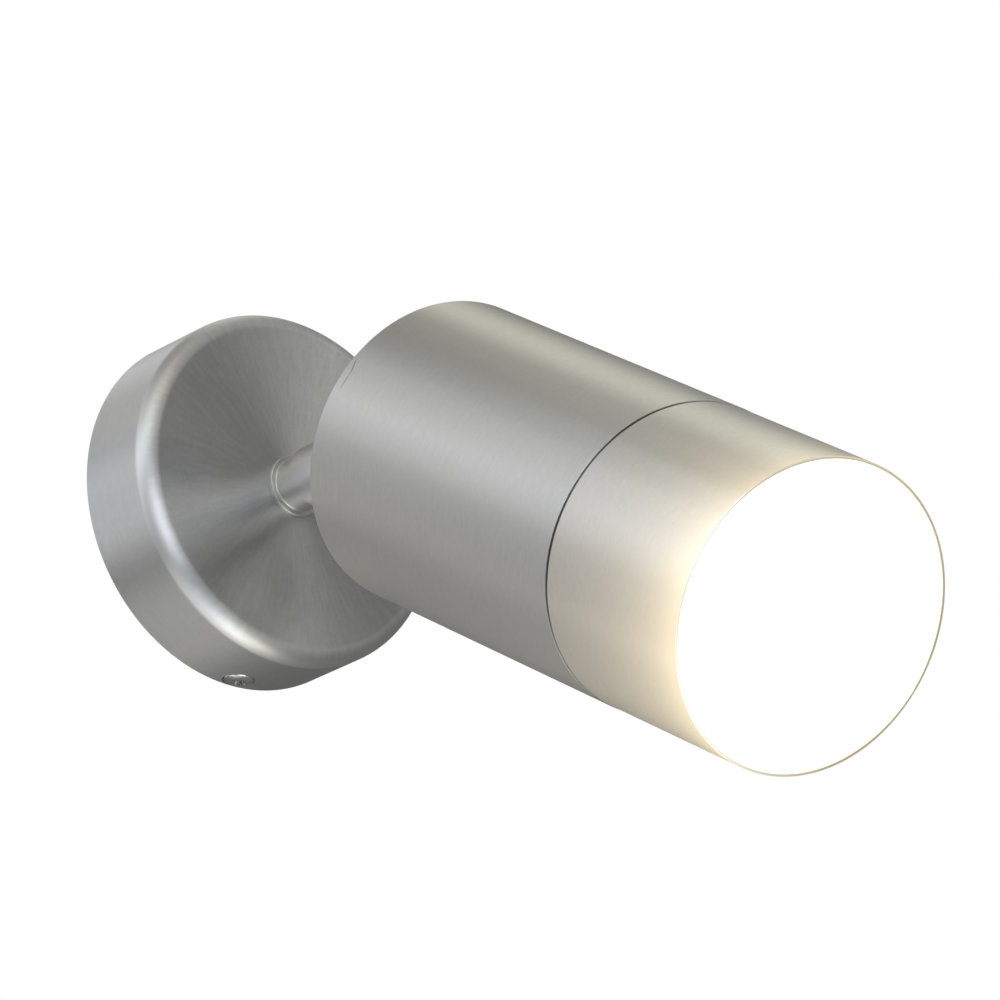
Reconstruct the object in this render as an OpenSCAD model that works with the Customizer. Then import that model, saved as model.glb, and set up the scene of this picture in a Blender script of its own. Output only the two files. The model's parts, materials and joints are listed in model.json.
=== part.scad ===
// Tube-shaped wall spotlight: a round canopy on the wall, a short turned stem with a
// friction knuckle, and a tube head that swivels and tilts. The front ring unscrews.
// The wall is the plane y = 0, the light stands out along -Y and +Z is up.

/* [Canopy] */
// Outer diameter of the round canopy
canopy_d = 72.4; // [70:0.2:90]
// How far the canopy's face stands out from the wall
canopy_depth = 19.5; // [18:0.5:26]
// Radius of the canopy's rounded front edge
canopy_edge_r = 3.25; // [2:0.05:5]
// Sheet thickness of the canopy
canopy_wall = 1.2; // [0.8:0.1:1.6]
// Distance of the side screws from the wall
side_screw_out = 3.4; // [3.2:0.1:6]
// Turn of the two side screws away from straight below and above
side_screw_turn = 5.5; // [0:0.5:12]
// Diameter of a side screw's head
side_screw_head_d = 6.2; // [5:0.1:7]
// How far a side screw's head stands proud of the canopy
side_screw_proud = 0.5; // [0.2:0.1:1.2]

/* [Wall plate] */
// Sheet thickness of the wall plate
plate_t = 1.5; // [1:0.1:2]
// Distance from the end of a wall fixing slot to the plate's edge
fixing_edge = 5.5; // [4:0.5:8]
// Width of a wall fixing slot
fixing_slot_w = 4.6; // [4:0.1:5.5]
// Length of a wall fixing slot, end to end
fixing_slot_len = 9; // [7:0.5:11]
// Width of the bent ears that carry the canopy
ear_w = 12; // [9:0.5:16]
// Bore of the cable grommet
cable_bore_d = 8; // [6:0.5:9]
// Distance from the cable grommet's middle to the plate's edge
cable_edge = 14; // [12:0.5:16]
// Pitch of the terminal block's poles
pole_pitch = 8; // [7.5:0.5:9]

/* [Stem] */
// Diameter of the stem's shaft and foot collar
stem_d = 12.6; // [12:0.1:15]
// Diameter of the turned neck behind the shaft
stem_neck_d = 10.4; // [10.2:0.1:11.8]
// Height of the foot collar
stem_collar_h = 1; // [0.6:0.1:2]
// Length of the turned neck
stem_neck_len = 5.9; // [3:0.1:9]
// Distance from the canopy's face to the tilt pivot
pivot_reach = 34.9; // [34.4:0.1:50]
// Thread diameter at the stem's ends and on the tongue's nipple
nipple_d = 10; // [9.5:0.1:10]
// Bore for the leads through the stem and the tongue
lead_bore_d = 6.8; // [6.6:0.1:7.4]

/* [Knuckle] */
// Width across the fork's two cheeks
fork_w = 16; // [14:0.5:18]
// Width of the tongue between the cheeks
tongue_w = 9; // [8.5:0.5:10]
// Diameter of the knuckle's round end
knuckle_d = 14; // [12:0.5:14]
// Width of the slot for the leads through the tongue
lead_slot_w = 4.4; // [4:0.1:5]
// Shoulder diameter of a pivot screw
pivot_d = 5; // [4:0.5:6]
// Thickness of a fibre friction washer
fibre_t = 0.5; // [0.3:0.1:0.8]

/* [Head] */
// Downward tilt of the head in degrees
head_tilt = 31.3; // [0:0.1:60]
// Wall thickness of the tube
tube_wall = 1.5; // [1:0.1:2]
// Length of the head from its rear edge to the front glass
head_len = 121.3; // [118:0.1:160]
// Length of the front ring
front_ring_len = 40.9; // [36:0.1:48]
// Gap between the tube and the front ring, filled by the seam gasket
seam_gap = 0.5; // [0.3:0.1:1]
// How much smaller the front ring's diameter is than the tube's
ring_step = 0.2; // [0:0.1:0.4]
// Distance from the tilt pivot to the tube's rear edge
rear_gap = 13.9; // [13.2:0.1:20]
// How deep the rear cap sits in the tube
cap_recess = 0.8; // [0.4:0.1:2]
// Thickness of the rear cap
cap_t = 3; // [2.6:0.1:5]

/* [Front ring] */
// Thickness of the front glass
glass_t = 4; // [3:0.5:5]
// Wall of the rim around the front glass
rim_wall = 0.55; // [0.4:0.05:0.8]
// Thickness of the gasket behind the front glass
glass_gasket_t = 1; // [0.5:0.1:1.5]
// Length of the threaded spigot inside the tube
spigot_len = 8; // [6:0.5:12]
// Wall of the spigot and of the ledge behind the glass
spigot_wall = 1.4; // [1.2:0.1:1.8]

/* [Lamp] */
// Diameter of the reflector lamp, which sets the tube's diameter
lamp_d = 50; // [49:0.5:54]
// Room between the lamp and the front ring's spigot
lamp_side_gap = 2.05; // [1.5:0.05:4]
// Length of the reflector lamp without its pins
lamp_len = 46; // [42:0.5:50]
// Distance between the lamp's front and the ledge behind the glass
lamp_gap = 5; // [3:0.5:8]
// Distance between the lamp's two pins
pin_spacing = 10; // [9.6:0.1:10.4]
// Twist that locks the lamp in its holder
lamp_twist = 40; // [30:1:50]
// Length of the lampholder's ceramic body
holder_h = 17; // [14:0.5:20]

/* [Fits] */
// Radial clearance of turned pieces that run or screw in each other
run_fit = 0.05; // [0.02:0.01:0.08]
// Clearance around loose pieces
loose_fit = 0.3; // [0.2:0.05:0.4]

/* [Hidden] */
$fn = 72;

// Overshoot of a cut beyond the face that it opens
over = 1;

// Canopy and wall plate, measured out from the wall
canopy_r = canopy_d / 2;
canopy_in_r = canopy_r - canopy_wall;
face_in = canopy_depth - canopy_wall;
plate_inset = 3;
plate_r = canopy_in_r - plate_inset;
ear_over = 3.6;
ear_h = side_screw_out + ear_over;
ear_out = sqrt(pow(canopy_in_r - loose_fit, 2) - pow(ear_w / 2, 2));
side_screw_d = 3;
side_screw_seat = canopy_r - canopy_wall / 2;
grommet_flange_t = 1.2;
grommet_flange_w = 3;
fixing_at = plate_r - fixing_edge - fixing_slot_len / 2;
cable_drop = plate_r - cable_edge;

// Terminal block, above the stem's nut
block_w = 3 * pole_pitch;
block_len = 14;
block_h = 12;
pole_h = 5;
pole_out = plate_t + pole_h;
sleeve_d = 4.3;
sleeve_bore_d = 2.6;
sleeve_inset = 1;
clamp_screw_d = 2.4;
clamp_screw_inset = 3.5;
clamp_screw_sink = 1;
block_screw_d = 2.5;
block_screw_head_d = 4;

// Earth screw and tag on the wall plate
earth_clear = 6.5;
earth_rise = 8;
earth_pos = [block_w / 2 + earth_clear, earth_rise];
earth_screw_d = 4;
earth_head_d = 7;
screw_head_h = 1.8;
tag_t = 0.6;
tag_barrel_d = 3;
tag_barrel_len = 5;
tag_eye_w = 2;
tag_lead_in = 3;
tag_straight = 2.5;
link_wall_gap = 5;
link_arch = 7.5;
link_over = 5.5;

// Stem's tail inside the canopy, and its washers and nut
stem_r = stem_d / 2;
nipple_r = nipple_d / 2;
hole_r = nipple_r + run_fit;
key_flat = nipple_r - 0.8;
washer_r = 9;
stop_t = 1;
stop_ring_r = 8;
stop_arm_w = 3;
stop_arm_r = 12.5;
stop_pin_d = 2.5;
stop_pin_at = 10.5;
disc_spring_t = 1;
disc_spring_r = 8;
nut_af = 14;
nut_h = 3.5;
thread_proud = 1.5;
stack_1 = face_in - fibre_t;
stack_2 = stack_1 - stop_t;
stack_3 = stack_2 - disc_spring_t;
stack_4 = stack_3 - nut_h;
tail_end = stack_4 - thread_proud;
nut_corner_r = nut_af / 2 / cos(30);
block_gap = 1.2;
block_low = nut_corner_r + block_gap;
block_high = block_low + block_len;

// Knuckle, measured from the tilt pivot
pivot_out = canopy_depth + pivot_reach;
knuckle_r = knuckle_d / 2;
fork_floor = knuckle_r + 0.6;
fork_base_h = 6;
fork_base_r = 9.5;
tongue_half = tongue_w / 2;
cheek_in = tongue_half + fibre_t + run_fit;
cheek_out = fork_w / 2;
tongue_end_r = knuckle_r - 0.2;
tongue_shoulder = knuckle_r + 1.2;
tongue_bore_start = 5;
pivot_thread_d = 3;
pivot_head_d = 8;
pivot_head_h = 2;
pivot_socket_af = 2.5;
pivot_socket_floor = 0.6;

// Head, measured along its axis from the tilt pivot
head_r = lamp_d / 2 + lamp_side_gap + spigot_wall + run_fit + tube_wall;
tube_in_r = head_r - tube_wall;
ring_r = head_r - ring_step / 2;
rear_s = rear_gap;
front_s = rear_s + head_len;
tube_front_s = front_s - front_ring_len - seam_gap;
ring_rear_s = front_s - front_ring_len;
cap_back_s = rear_s + cap_recess;
cap_front_s = cap_back_s + cap_t;
cap_r = tube_in_r - run_fit;
lock_washer_t = 0.8;
lock_washer_r = 8.5;
tongue_nut_s = cap_front_s + lock_washer_t;
nipple_end_s = tongue_nut_s + nut_h + thread_proud;

// Stake marks near the tube's rear edge
stake_count = 3;
stake_at = 160;
stake_span = 7.5;
stake_in = 2.2;
stake_w = 0.3;
stake_depth = 0.2;
stake_hook_len = 3;
stake_hook_turn = 24;

// Front ring
spigot_r = tube_in_r - run_fit;
spigot_in_r = spigot_r - spigot_wall;
ring_in_r = ring_r - tube_wall;
rim_in_r = ring_r - rim_wall;
glass_r = rim_in_r - run_fit;
ledge_s = front_s - glass_t - glass_gasket_t;
ledge_h = 2;
rim_chamfer = 0.15;

// Lamp and its holder
lamp_r = lamp_d / 2;
lamp_front_s = ledge_s - ledge_h - lamp_gap;
lamp_back_s = lamp_front_s - lamp_len;
lamp_base_len = 12;
lamp_base_r = 12.5;
lamp_rim_len = 9;
lamp_shell_t = 1.5;
lamp_lens_t = 2;
board_t = 1.6;
pin_neck_r = 1.6;
pin_head_r = 2.5;
pin_neck_len = 3.5;
pin_head_len = 2.5;
pin_root = 4;
holder_top_s = lamp_back_s - loose_fit;
holder_bot_s = holder_top_s - holder_h;
holder_r = 14.5;
holder_flat = 9.5;
holder_plate_t = 3;
holder_cavity_h = 6;
cavity_bot_s = holder_top_s - holder_plate_t - holder_cavity_h;
contact_gap = 0.1;
contact_top_s = lamp_back_s - pin_neck_len - pin_head_len - contact_gap;
contact_r = 2;
pin_r_at = pin_spacing / 2;
m3_r = 1.5;
m3_head_r = 2.75;
holder_screw_at = 11.2;
holder_screw_depth = 7;

// Stirrup between the rear cap and the lampholder
bracket_t = 1.2;
bracket_w = 14;
bracket_half = 20;
bracket_foot = 9.5;
bracket_screw_at = 15;
bracket_screw_depth = 2;
bracket_top_s = holder_bot_s;
bracket_base_s = bracket_top_s - bracket_t;

// Leads: three side by side through stem and knuckle
lead_d = 1.8;
lead_pitch = 2.1;
lead_bend = fork_floor - 0.4;
tail_lead_in = 3;
lead_join_out = tail_end + tail_lead_in;
nipple_lead_in = 2;
lead_join_s = nipple_end_s - nipple_lead_in;
tail_sweep = 3.4;
sweep_step = 1;
head_lead_straight = 1;
contact_lead_slack = 14;
contact_lead_straight = 6;
earth_lead_slack = 9;
lead_sides = 8;
lead_ring_count = 14;

// Points in the wall's frame and in the head's frame, as row coordinates
function wall_pt(x, up, out) = [x, -out, up];
function head_pt(x, up, s) = [
    x,
    -pivot_out - up * sin(head_tilt) - s * cos(head_tilt),
    up * cos(head_tilt) - s * sin(head_tilt)
];

// A cubic curve through four control points
function curve_pt(p, t) =
    pow(1 - t, 3) * p[0] + 3 * pow(1 - t, 2) * t * p[1]
    + 3 * (1 - t) * pow(t, 2) * p[2] + pow(t, 3) * p[3];
function curve(p, count = lead_ring_count) = [for (i = [0:count]) curve_pt(p, i / count)];

function unit(v) = v / norm(v);
function heading(path, i) =
    i == 0 ? unit(path[1] - path[0])
    : i == len(path) - 1 ? unit(path[i] - path[i - 1])
    : unit(unit(path[i + 1] - path[i]) + unit(path[i] - path[i - 1]));
function ring_points(path, i, r, aside) =
    let (t = heading(path, i), a = unit(cross(t, aside)), b = cross(t, a))
    [
        for (k = [0:lead_sides - 1]) let (turn = k * 360 / lead_sides)
            path[i] + r * (cos(turn) * a + sin(turn) * b)
    ];

// A round lead along a path. aside is a direction that the path never takes
module lead(path, aside) {
    n = len(path);
    points = [for (i = [0:n - 1]) each ring_points(path, i, lead_d / 2, aside)];
    walls = [
        for (i = [0:n - 2], k = [0:lead_sides - 1])
            let (a = i * lead_sides + k, b = i * lead_sides + (k + 1) % lead_sides)
            each [[a, a + lead_sides, b], [b, a + lead_sides, b + lead_sides]]
    ];
    start = [[for (k = [0:lead_sides - 1]) k]];
    finish = [[for (k = [lead_sides - 1:-1:0]) (n - 1) * lead_sides + k]];
    polyhedron(points = points, faces = concat(walls, start, finish), convexity = 6);
}

// Local Z runs out from the wall, local Y is up
module on_wall() {
    rotate([90, 0, 0]) children();
}

// Local Z runs forward along the head from the tilt pivot, local Y is up
module on_head() {
    translate([0, -pivot_out, 0]) rotate([90 + head_tilt, 0, 0]) children();
}

// Local Z points out of the canopy's side at each of its two screws
module at_side_screws() {
    for (turn = [0, 180])
        rotate([0, 0, turn - side_screw_turn])
            translate([0, 0, side_screw_out])
                rotate([90, 0, 0]) children();
}

// Local Z points away from the pivot along X, on both sides
module at_pivot_sides() {
    for (side = [90, -90]) rotate([0, side, 0]) children();
}

module ring(r_out, r_in, h) {
    difference() {
        cylinder(r = r_out, h = h);
        translate([0, 0, -over]) cylinder(r = r_in, h = h + 2 * over);
    }
}

module slot_cut(length, width, depth) {
    reach = (length - width) / 2;
    for (x = [-reach, reach]) translate([x, 0, 0]) cylinder(d = width, h = depth);
    translate([-reach, -width / 2, 0]) cube([2 * reach, width, depth]);
}

module hex_nut() {
    difference() {
        cylinder(r = nut_corner_r, h = nut_h, $fn = 6);
        translate([0, 0, -over]) cylinder(r = hole_r, h = nut_h + 2 * over);
    }
}

// A screw whose head sits on z = 0 and whose shank points down, with a crossed recess
module cross_screw(head_d, head_h, shank_d, shank_len) {
    recess_w = head_d * 0.14;
    recess_len = head_d * 0.56;
    rim_h = head_h * 0.6;
    top_d = head_d * 0.72;
    difference() {
        union() {
            cylinder(d = head_d, h = rim_h);
            translate([0, 0, rim_h]) cylinder(d1 = head_d, d2 = top_d, h = head_h - rim_h);
            translate([0, 0, -shank_len]) cylinder(d = shank_d, h = shank_len);
        }
        for (turn = [0, 90])
            rotate([0, 0, turn])
                translate([-recess_len / 2, -recess_w / 2, head_h - rim_h])
                    cube([recess_len, recess_w, head_h]);
    }
}

// Half section of a disc with its outer far corner rounded
module rounded_half(r, depth, edge) {
    square([r - edge, depth]);
    square([r, depth - edge]);
    translate([r - edge, depth - edge]) circle(r = edge);
}

// Canopy and what it holds

module canopy() {
    color("silver") on_wall() difference() {
        rotate_extrude() difference() {
            rounded_half(canopy_r, canopy_depth, canopy_edge_r);
            translate([0, -over]) rounded_half(canopy_in_r, face_in + over, canopy_edge_r - canopy_wall);
        }
        translate([0, 0, face_in - over]) cylinder(r = hole_r, h = canopy_wall + 2 * over);
        at_side_screws() {
            translate([0, 0, canopy_in_r - over])
                cylinder(d = side_screw_d + 2 * loose_fit, h = canopy_wall + 2 * over);
            translate([0, 0, side_screw_seat])
                cylinder(d = side_screw_head_d + loose_fit, h = canopy_wall + over);
        }
    }
}

module stop_pin() {
    pin_len = stop_t + disc_spring_t + fibre_t;
    color("silver") on_wall()
        translate([0, -stop_pin_at, face_in - pin_len]) cylinder(d = stop_pin_d, h = pin_len);
}

module canopy_screws() {
    head_h = canopy_r + side_screw_proud - side_screw_seat;
    shank_len = side_screw_seat - ear_out + plate_t + over;
    color("gainsboro") on_wall() at_side_screws()
        translate([0, 0, side_screw_seat])
            cross_screw(side_screw_head_d, head_h, side_screw_d, shank_len);
}

module wall_plate() {
    color("lightgray") on_wall() difference() {
        union() {
            cylinder(r = plate_r, h = plate_t);
            for (turn = [0, 180]) rotate([0, 0, turn - side_screw_turn]) {
                translate([-ear_w / 2, -ear_out, 0]) cube([ear_w, ear_out - plate_r / 2, plate_t]);
                translate([-ear_w / 2, -ear_out, 0]) cube([ear_w, plate_t, ear_h]);
            }
        }
        at_side_screws() translate([0, 0, ear_out - plate_t - over])
            cylinder(r = side_screw_d / 2 + run_fit, h = plate_t + 2 * over);
        for (x = [-fixing_at, fixing_at])
            translate([x, 0, -over]) slot_cut(fixing_slot_len, fixing_slot_w, plate_t + 2 * over);
        translate([0, -cable_drop, -over]) cylinder(r = cable_bore_d / 2 + plate_t, h = plate_t + 2 * over);
        translate([earth_pos[0], earth_pos[1], -over])
            cylinder(r = earth_screw_d / 2 + run_fit, h = plate_t + 2 * over);
        translate([pole_pitch / 2, (block_low + block_high) / 2, -over])
            cylinder(r = block_screw_d / 2 + run_fit, h = plate_t + 2 * over);
    }
}

module cable_grommet() {
    outer_r = cable_bore_d / 2 + plate_t;
    color("dimgray") on_wall() translate([0, -cable_drop, 0]) difference() {
        union() {
            cylinder(r = outer_r, h = plate_t);
            translate([0, 0, plate_t])
                cylinder(r = cable_bore_d / 2 + grommet_flange_w, h = grommet_flange_t);
        }
        translate([0, 0, -over]) cylinder(d = cable_bore_d, h = plate_t + grommet_flange_t + 2 * over);
    }
}

// Local Z is the axis of each pole's sleeve, from the stem's side of the block
module at_poles() {
    for (pole = [-1:1])
        translate([pole * pole_pitch, block_low, pole_out]) rotate([-90, 0, 0]) children();
}

// Local Z points out from the wall at each clamping screw
module at_clamp_screws() {
    for (pole = [-1:1], y = [block_low + clamp_screw_inset, block_high - clamp_screw_inset])
        translate([pole * pole_pitch, y, pole_out]) children();
}

module terminal_block() {
    color("ivory") on_wall() difference() {
        translate([-block_w / 2, block_low, plate_t]) cube([block_w, block_len, block_h]);
        at_poles() translate([0, 0, -over]) cylinder(d = sleeve_d + 2 * run_fit, h = block_len + 2 * over);
        at_clamp_screws() cylinder(d = clamp_screw_d + 2 * loose_fit, h = block_h);
        translate([pole_pitch / 2, (block_low + block_high) / 2, 0]) {
            cylinder(r = block_screw_d / 2 + run_fit, h = block_h);
            translate([0, 0, plate_t + block_h - screw_head_h])
                cylinder(d = block_screw_head_d + loose_fit, h = block_h);
        }
    }
}

module terminal_sleeves() {
    sleeve_len = block_len - 2 * sleeve_inset;
    color("goldenrod") on_wall() difference() {
        at_poles() translate([0, 0, sleeve_inset]) ring(sleeve_d / 2, sleeve_bore_d / 2, sleeve_len);
        at_clamp_screws() cylinder(d = clamp_screw_d + 2 * run_fit, h = block_h);
    }
}

module terminal_screws() {
    slot_w = 0.5;
    slot_depth = 0.8;
    tip = lead_d / 2 + contact_gap;
    screw_len = block_h + plate_t - pole_out - tip - clamp_screw_sink;
    color("gainsboro") on_wall() at_clamp_screws() translate([0, 0, tip]) difference() {
        cylinder(d = clamp_screw_d, h = screw_len);
        translate([-clamp_screw_d, -slot_w / 2, screw_len - slot_depth])
            cube([2 * clamp_screw_d, slot_w, over]);
    }
}

module terminal_fixing_screw() {
    shank_len = block_h - screw_head_h + plate_t;
    color("gainsboro") on_wall()
        translate([pole_pitch / 2, (block_low + block_high) / 2, plate_t + block_h - screw_head_h])
            cross_screw(block_screw_head_d, screw_head_h, block_screw_d, shank_len);
}

module earth_screw() {
    color("goldenrod") on_wall()
        translate([earth_pos[0], earth_pos[1], plate_t + tag_t])
            cross_screw(earth_head_d, screw_head_h, earth_screw_d, plate_t + tag_t);
}

// A ring tag that lies on z = 0, with its crimped barrel towards local Y
module ring_tag(screw_d) {
    eye_r = screw_d / 2 + tag_eye_w;
    neck_w = 2;
    barrel_start = eye_r - 0.5;
    difference() {
        union() {
            cylinder(r = eye_r, h = tag_t);
            translate([-neck_w / 2, 0, 0]) cube([neck_w, barrel_start + over, tag_t]);
            translate([0, barrel_start, tag_barrel_d / 2]) rotate([-90, 0, 0])
                cylinder(d = tag_barrel_d, h = tag_barrel_len);
        }
        translate([0, 0, -over]) cylinder(r = screw_d / 2 + run_fit, h = tag_t + tag_barrel_d + over);
        translate([0, 0, tag_t]) cylinder(r = eye_r, h = tag_barrel_d);
        translate([0, barrel_start + over, tag_barrel_d / 2]) rotate([-90, 0, 0])
            cylinder(d = lead_d + 2 * run_fit, h = tag_barrel_len);
    }
}

module earth_tag() {
    color("gainsboro") on_wall() translate([earth_pos[0], earth_pos[1], plate_t]) ring_tag(earth_screw_d);
}

// From the earth tag along the canopy's wall, and down into the middle pole
module earth_link() {
    tag_end = earth_pos[1] + earth_screw_d / 2 + tag_eye_w + tag_lead_in;
    tag_mouth = tag_end + tag_straight;
    tag_axis = plate_t + tag_barrel_d / 2;
    wall_near = canopy_in_r - link_wall_gap;
    path = concat(
        [wall_pt(earth_pos[0], tag_end, tag_axis)],
        curve([
            wall_pt(earth_pos[0], tag_mouth, tag_axis),
            wall_pt(earth_pos[0], wall_near, tag_axis),
            wall_pt(0, wall_near + link_arch, ear_h + link_over),
            wall_pt(0, block_high, pole_out)
        ]),
        [wall_pt(0, block_high - clamp_screw_inset, pole_out)]
    );
    color("yellowgreen") lead(path, [0.3, 1, 0]);
}

// From each pole of the terminal block round into the stem's tail
module canopy_lead(pole, up, sweep) {
    tail_mouth = wall_pt(0, up, tail_end);
    path = concat(
        [wall_pt(pole * pole_pitch, block_low + clamp_screw_inset + clamp_screw_d, pole_out)],
        curve([
            wall_pt(pole * pole_pitch, block_low, pole_out),
            wall_pt(pole * pole_pitch, block_low - sweep, pole_out),
            tail_mouth + [0, sweep, 0],
            tail_mouth
        ]),
        [wall_pt(0, up, lead_join_out)]
    );
    lead(path, [1, 0, 0.02]);
}

module canopy_leads() {
    color("yellowgreen") canopy_lead(0, lead_pitch, tail_sweep);
    color("steelblue") canopy_lead(-1, 0, tail_sweep + sweep_step);
    color("saddlebrown") canopy_lead(1, -lead_pitch, tail_sweep + 2 * sweep_step);
}

// Stem

module stem() {
    face = canopy_depth;
    neck_start = face + stem_collar_h;
    shaft_start = neck_start + stem_neck_len;
    shaft_end = pivot_out - fork_floor - fork_base_h;
    thread_end = pivot_out - fork_floor;
    edge = 0.25;
    bore_r = lead_bore_d / 2;
    color("silver") on_wall() difference() {
        rotate_extrude() polygon([
            [bore_r, tail_end], [nipple_r, tail_end], [nipple_r, face],
            [stem_r - edge, face], [stem_r, face + edge], [stem_r, neck_start - edge],
            [stem_r - edge, neck_start], [stem_neck_d / 2, neck_start],
            [stem_neck_d / 2, shaft_start], [stem_r - edge, shaft_start],
            [stem_r, shaft_start + edge], [stem_r, shaft_end],
            [nipple_r, shaft_end], [nipple_r, thread_end], [bore_r, thread_end]
        ]);
        translate([-nipple_d, key_flat, tail_end - over])
            cube([2 * nipple_d, nipple_d, face_in - tail_end + over - fibre_t]);
    }
}

module stem_fibre_washer() {
    color("firebrick") on_wall() translate([0, 0, stack_1]) ring(washer_r, hole_r, fibre_t);
}

module stop_washer() {
    color("gainsboro") on_wall() translate([0, 0, stack_2]) difference() {
        union() {
            cylinder(r = stop_ring_r, h = stop_t);
            translate([-stop_arm_w / 2, 0, 0]) cube([stop_arm_w, stop_arm_r, stop_t]);
        }
        intersection() {
            translate([0, 0, -over]) cylinder(r = hole_r, h = stop_t + 2 * over);
            translate([-nipple_d, -nipple_d, -over])
                cube([2 * nipple_d, nipple_d + key_flat + run_fit, stop_t + 2 * over]);
        }
    }
}

module disc_spring() {
    plate = 0.6;
    color("dimgray") on_wall() translate([0, 0, stack_3]) rotate_extrude() polygon([
        [hole_r, 0], [hole_r, plate],
        [disc_spring_r, disc_spring_t], [disc_spring_r, disc_spring_t - plate]
    ]);
}

module stem_nut() {
    color("goldenrod") on_wall() translate([0, 0, stack_4]) hex_nut();
}

// Knuckle

module knuckle_fork() {
    color("silver") translate([0, -pivot_out, 0]) on_wall() difference() {
        union() {
            translate([0, 0, -fork_floor - fork_base_h]) cylinder(r = fork_base_r, h = fork_base_h);
            intersection() {
                union() {
                    rotate([0, 90, 0]) translate([0, 0, -cheek_out])
                        cylinder(r = knuckle_r, h = 2 * cheek_out);
                    translate([-cheek_out, -knuckle_r, -fork_floor])
                        cube([2 * cheek_out, 2 * knuckle_r, fork_floor]);
                }
                translate([0, 0, -fork_floor]) cylinder(r = fork_base_r, h = fork_floor + knuckle_r);
            }
        }
        translate([-cheek_in, -fork_base_r, -fork_floor])
            cube([2 * cheek_in, 2 * fork_base_r, 2 * fork_floor]);
        translate([0, 0, -fork_floor - fork_base_h - over]) cylinder(r = hole_r, h = fork_base_h + 2 * over);
        rotate([0, 90, 0]) translate([0, 0, -fork_w]) cylinder(r = pivot_d / 2 + run_fit, h = 2 * fork_w);
    }
}

module knuckle_tongue() {
    color("silver") on_head() difference() {
        union() {
            rotate([0, 90, 0]) translate([0, 0, -tongue_half]) cylinder(r = tongue_end_r, h = tongue_w);
            translate([-tongue_half, -tongue_end_r, 0]) cube([tongue_w, 2 * tongue_end_r, tongue_shoulder]);
            translate([0, 0, tongue_shoulder]) cylinder(r = knuckle_r, h = cap_back_s - tongue_shoulder);
            translate([0, 0, cap_back_s]) cylinder(r = nipple_r, h = nipple_end_s - cap_back_s);
        }
        translate([-lead_slot_w / 2, -knuckle_r, -knuckle_r])
            cube([lead_slot_w, 2 * knuckle_r, knuckle_r + tongue_bore_start]);
        translate([0, 0, tongue_bore_start - over]) cylinder(d = lead_bore_d, h = nipple_end_s);
        rotate([0, 90, 0]) translate([0, 0, -tongue_w])
            cylinder(r = pivot_thread_d / 2 + run_fit, h = 2 * tongue_w);
    }
}

module knuckle_washers() {
    color("firebrick") on_head() at_pivot_sides()
        translate([0, 0, tongue_half]) ring(tongue_end_r, pivot_d / 2 + run_fit, fibre_t);
}

module pivot_screws() {
    head_at = cheek_out + run_fit;
    color("gainsboro") on_head() at_pivot_sides() difference() {
        union() {
            translate([0, 0, lead_slot_w / 2 + run_fit]) cylinder(d = pivot_thread_d, h = tongue_half);
            translate([0, 0, tongue_half]) cylinder(d = pivot_d, h = head_at - tongue_half);
            translate([0, 0, head_at]) cylinder(d = pivot_head_d, h = pivot_head_h / 2);
            translate([0, 0, head_at + pivot_head_h / 2])
                cylinder(d1 = pivot_head_d, d2 = pivot_head_d * 0.7, h = pivot_head_h / 2);
        }
        translate([0, 0, head_at + pivot_socket_floor])
            cylinder(d = pivot_socket_af / cos(30), h = pivot_head_h, $fn = 6);
    }
}

// Three leads from the stem's tail through the knuckle into the head
module knuckle_lead(up) {
    handle = lead_bend * 0.68;
    path = concat(
        [wall_pt(0, up, lead_join_out)],
        curve([
            wall_pt(0, up, pivot_out - lead_bend),
            wall_pt(0, up, pivot_out - lead_bend + handle),
            head_pt(0, up, lead_bend - handle),
            head_pt(0, up, lead_bend)
        ]),
        [head_pt(0, up, lead_join_s)]
    );
    lead(path, [1, 0, 0]);
}

module knuckle_leads() {
    color("yellowgreen") knuckle_lead(lead_pitch);
    color("steelblue") knuckle_lead(0);
    color("saddlebrown") knuckle_lead(-lead_pitch);
}

// Head

module rear_cap() {
    edge = 0.4;
    color("silver") on_head() difference() {
        translate([0, 0, cap_back_s]) rotate_extrude() polygon([
            [hole_r, 0], [cap_r - edge, 0], [cap_r, edge], [cap_r, cap_t], [hole_r, cap_t]
        ]);
        for (x = [-bracket_screw_at, bracket_screw_at])
            translate([x, 0, cap_front_s - bracket_screw_depth - loose_fit])
                cylinder(r = m3_r + run_fit, h = bracket_screw_depth + over);
    }
}

module tongue_washer() {
    color("gainsboro") on_head() translate([0, 0, cap_front_s]) ring(lock_washer_r, hole_r, lock_washer_t);
}

module tongue_nut() {
    color("goldenrod") on_head() translate([0, 0, tongue_nut_s]) hex_nut();
}

// A short groove along the rear edge with one end hooked towards it
module stake_mark() {
    translate([0, 0, rear_s + stake_in])
        rotate_extrude(angle = stake_span)
            translate([head_r - stake_depth, -stake_w / 2]) square([stake_depth + over, stake_w]);
    translate([head_r - stake_depth, 0, rear_s + stake_in])
        rotate([stake_hook_turn, 0, 0])
            translate([0, -stake_hook_len, -stake_w / 2])
                cube([stake_depth + over, stake_hook_len, stake_w]);
}

module tube_body() {
    edge = 0.15;
    color("silver") on_head() difference() {
        rotate_extrude($fn = 144) polygon([
            [tube_in_r, rear_s], [head_r - edge, rear_s], [head_r, rear_s + edge],
            [head_r, tube_front_s - edge], [head_r - edge, tube_front_s], [tube_in_r, tube_front_s]
        ]);
        for (i = [0:stake_count - 1])
            rotate([0, 0, stake_at - stake_span / 2 + i * 360 / stake_count]) stake_mark();
    }
}

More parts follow.
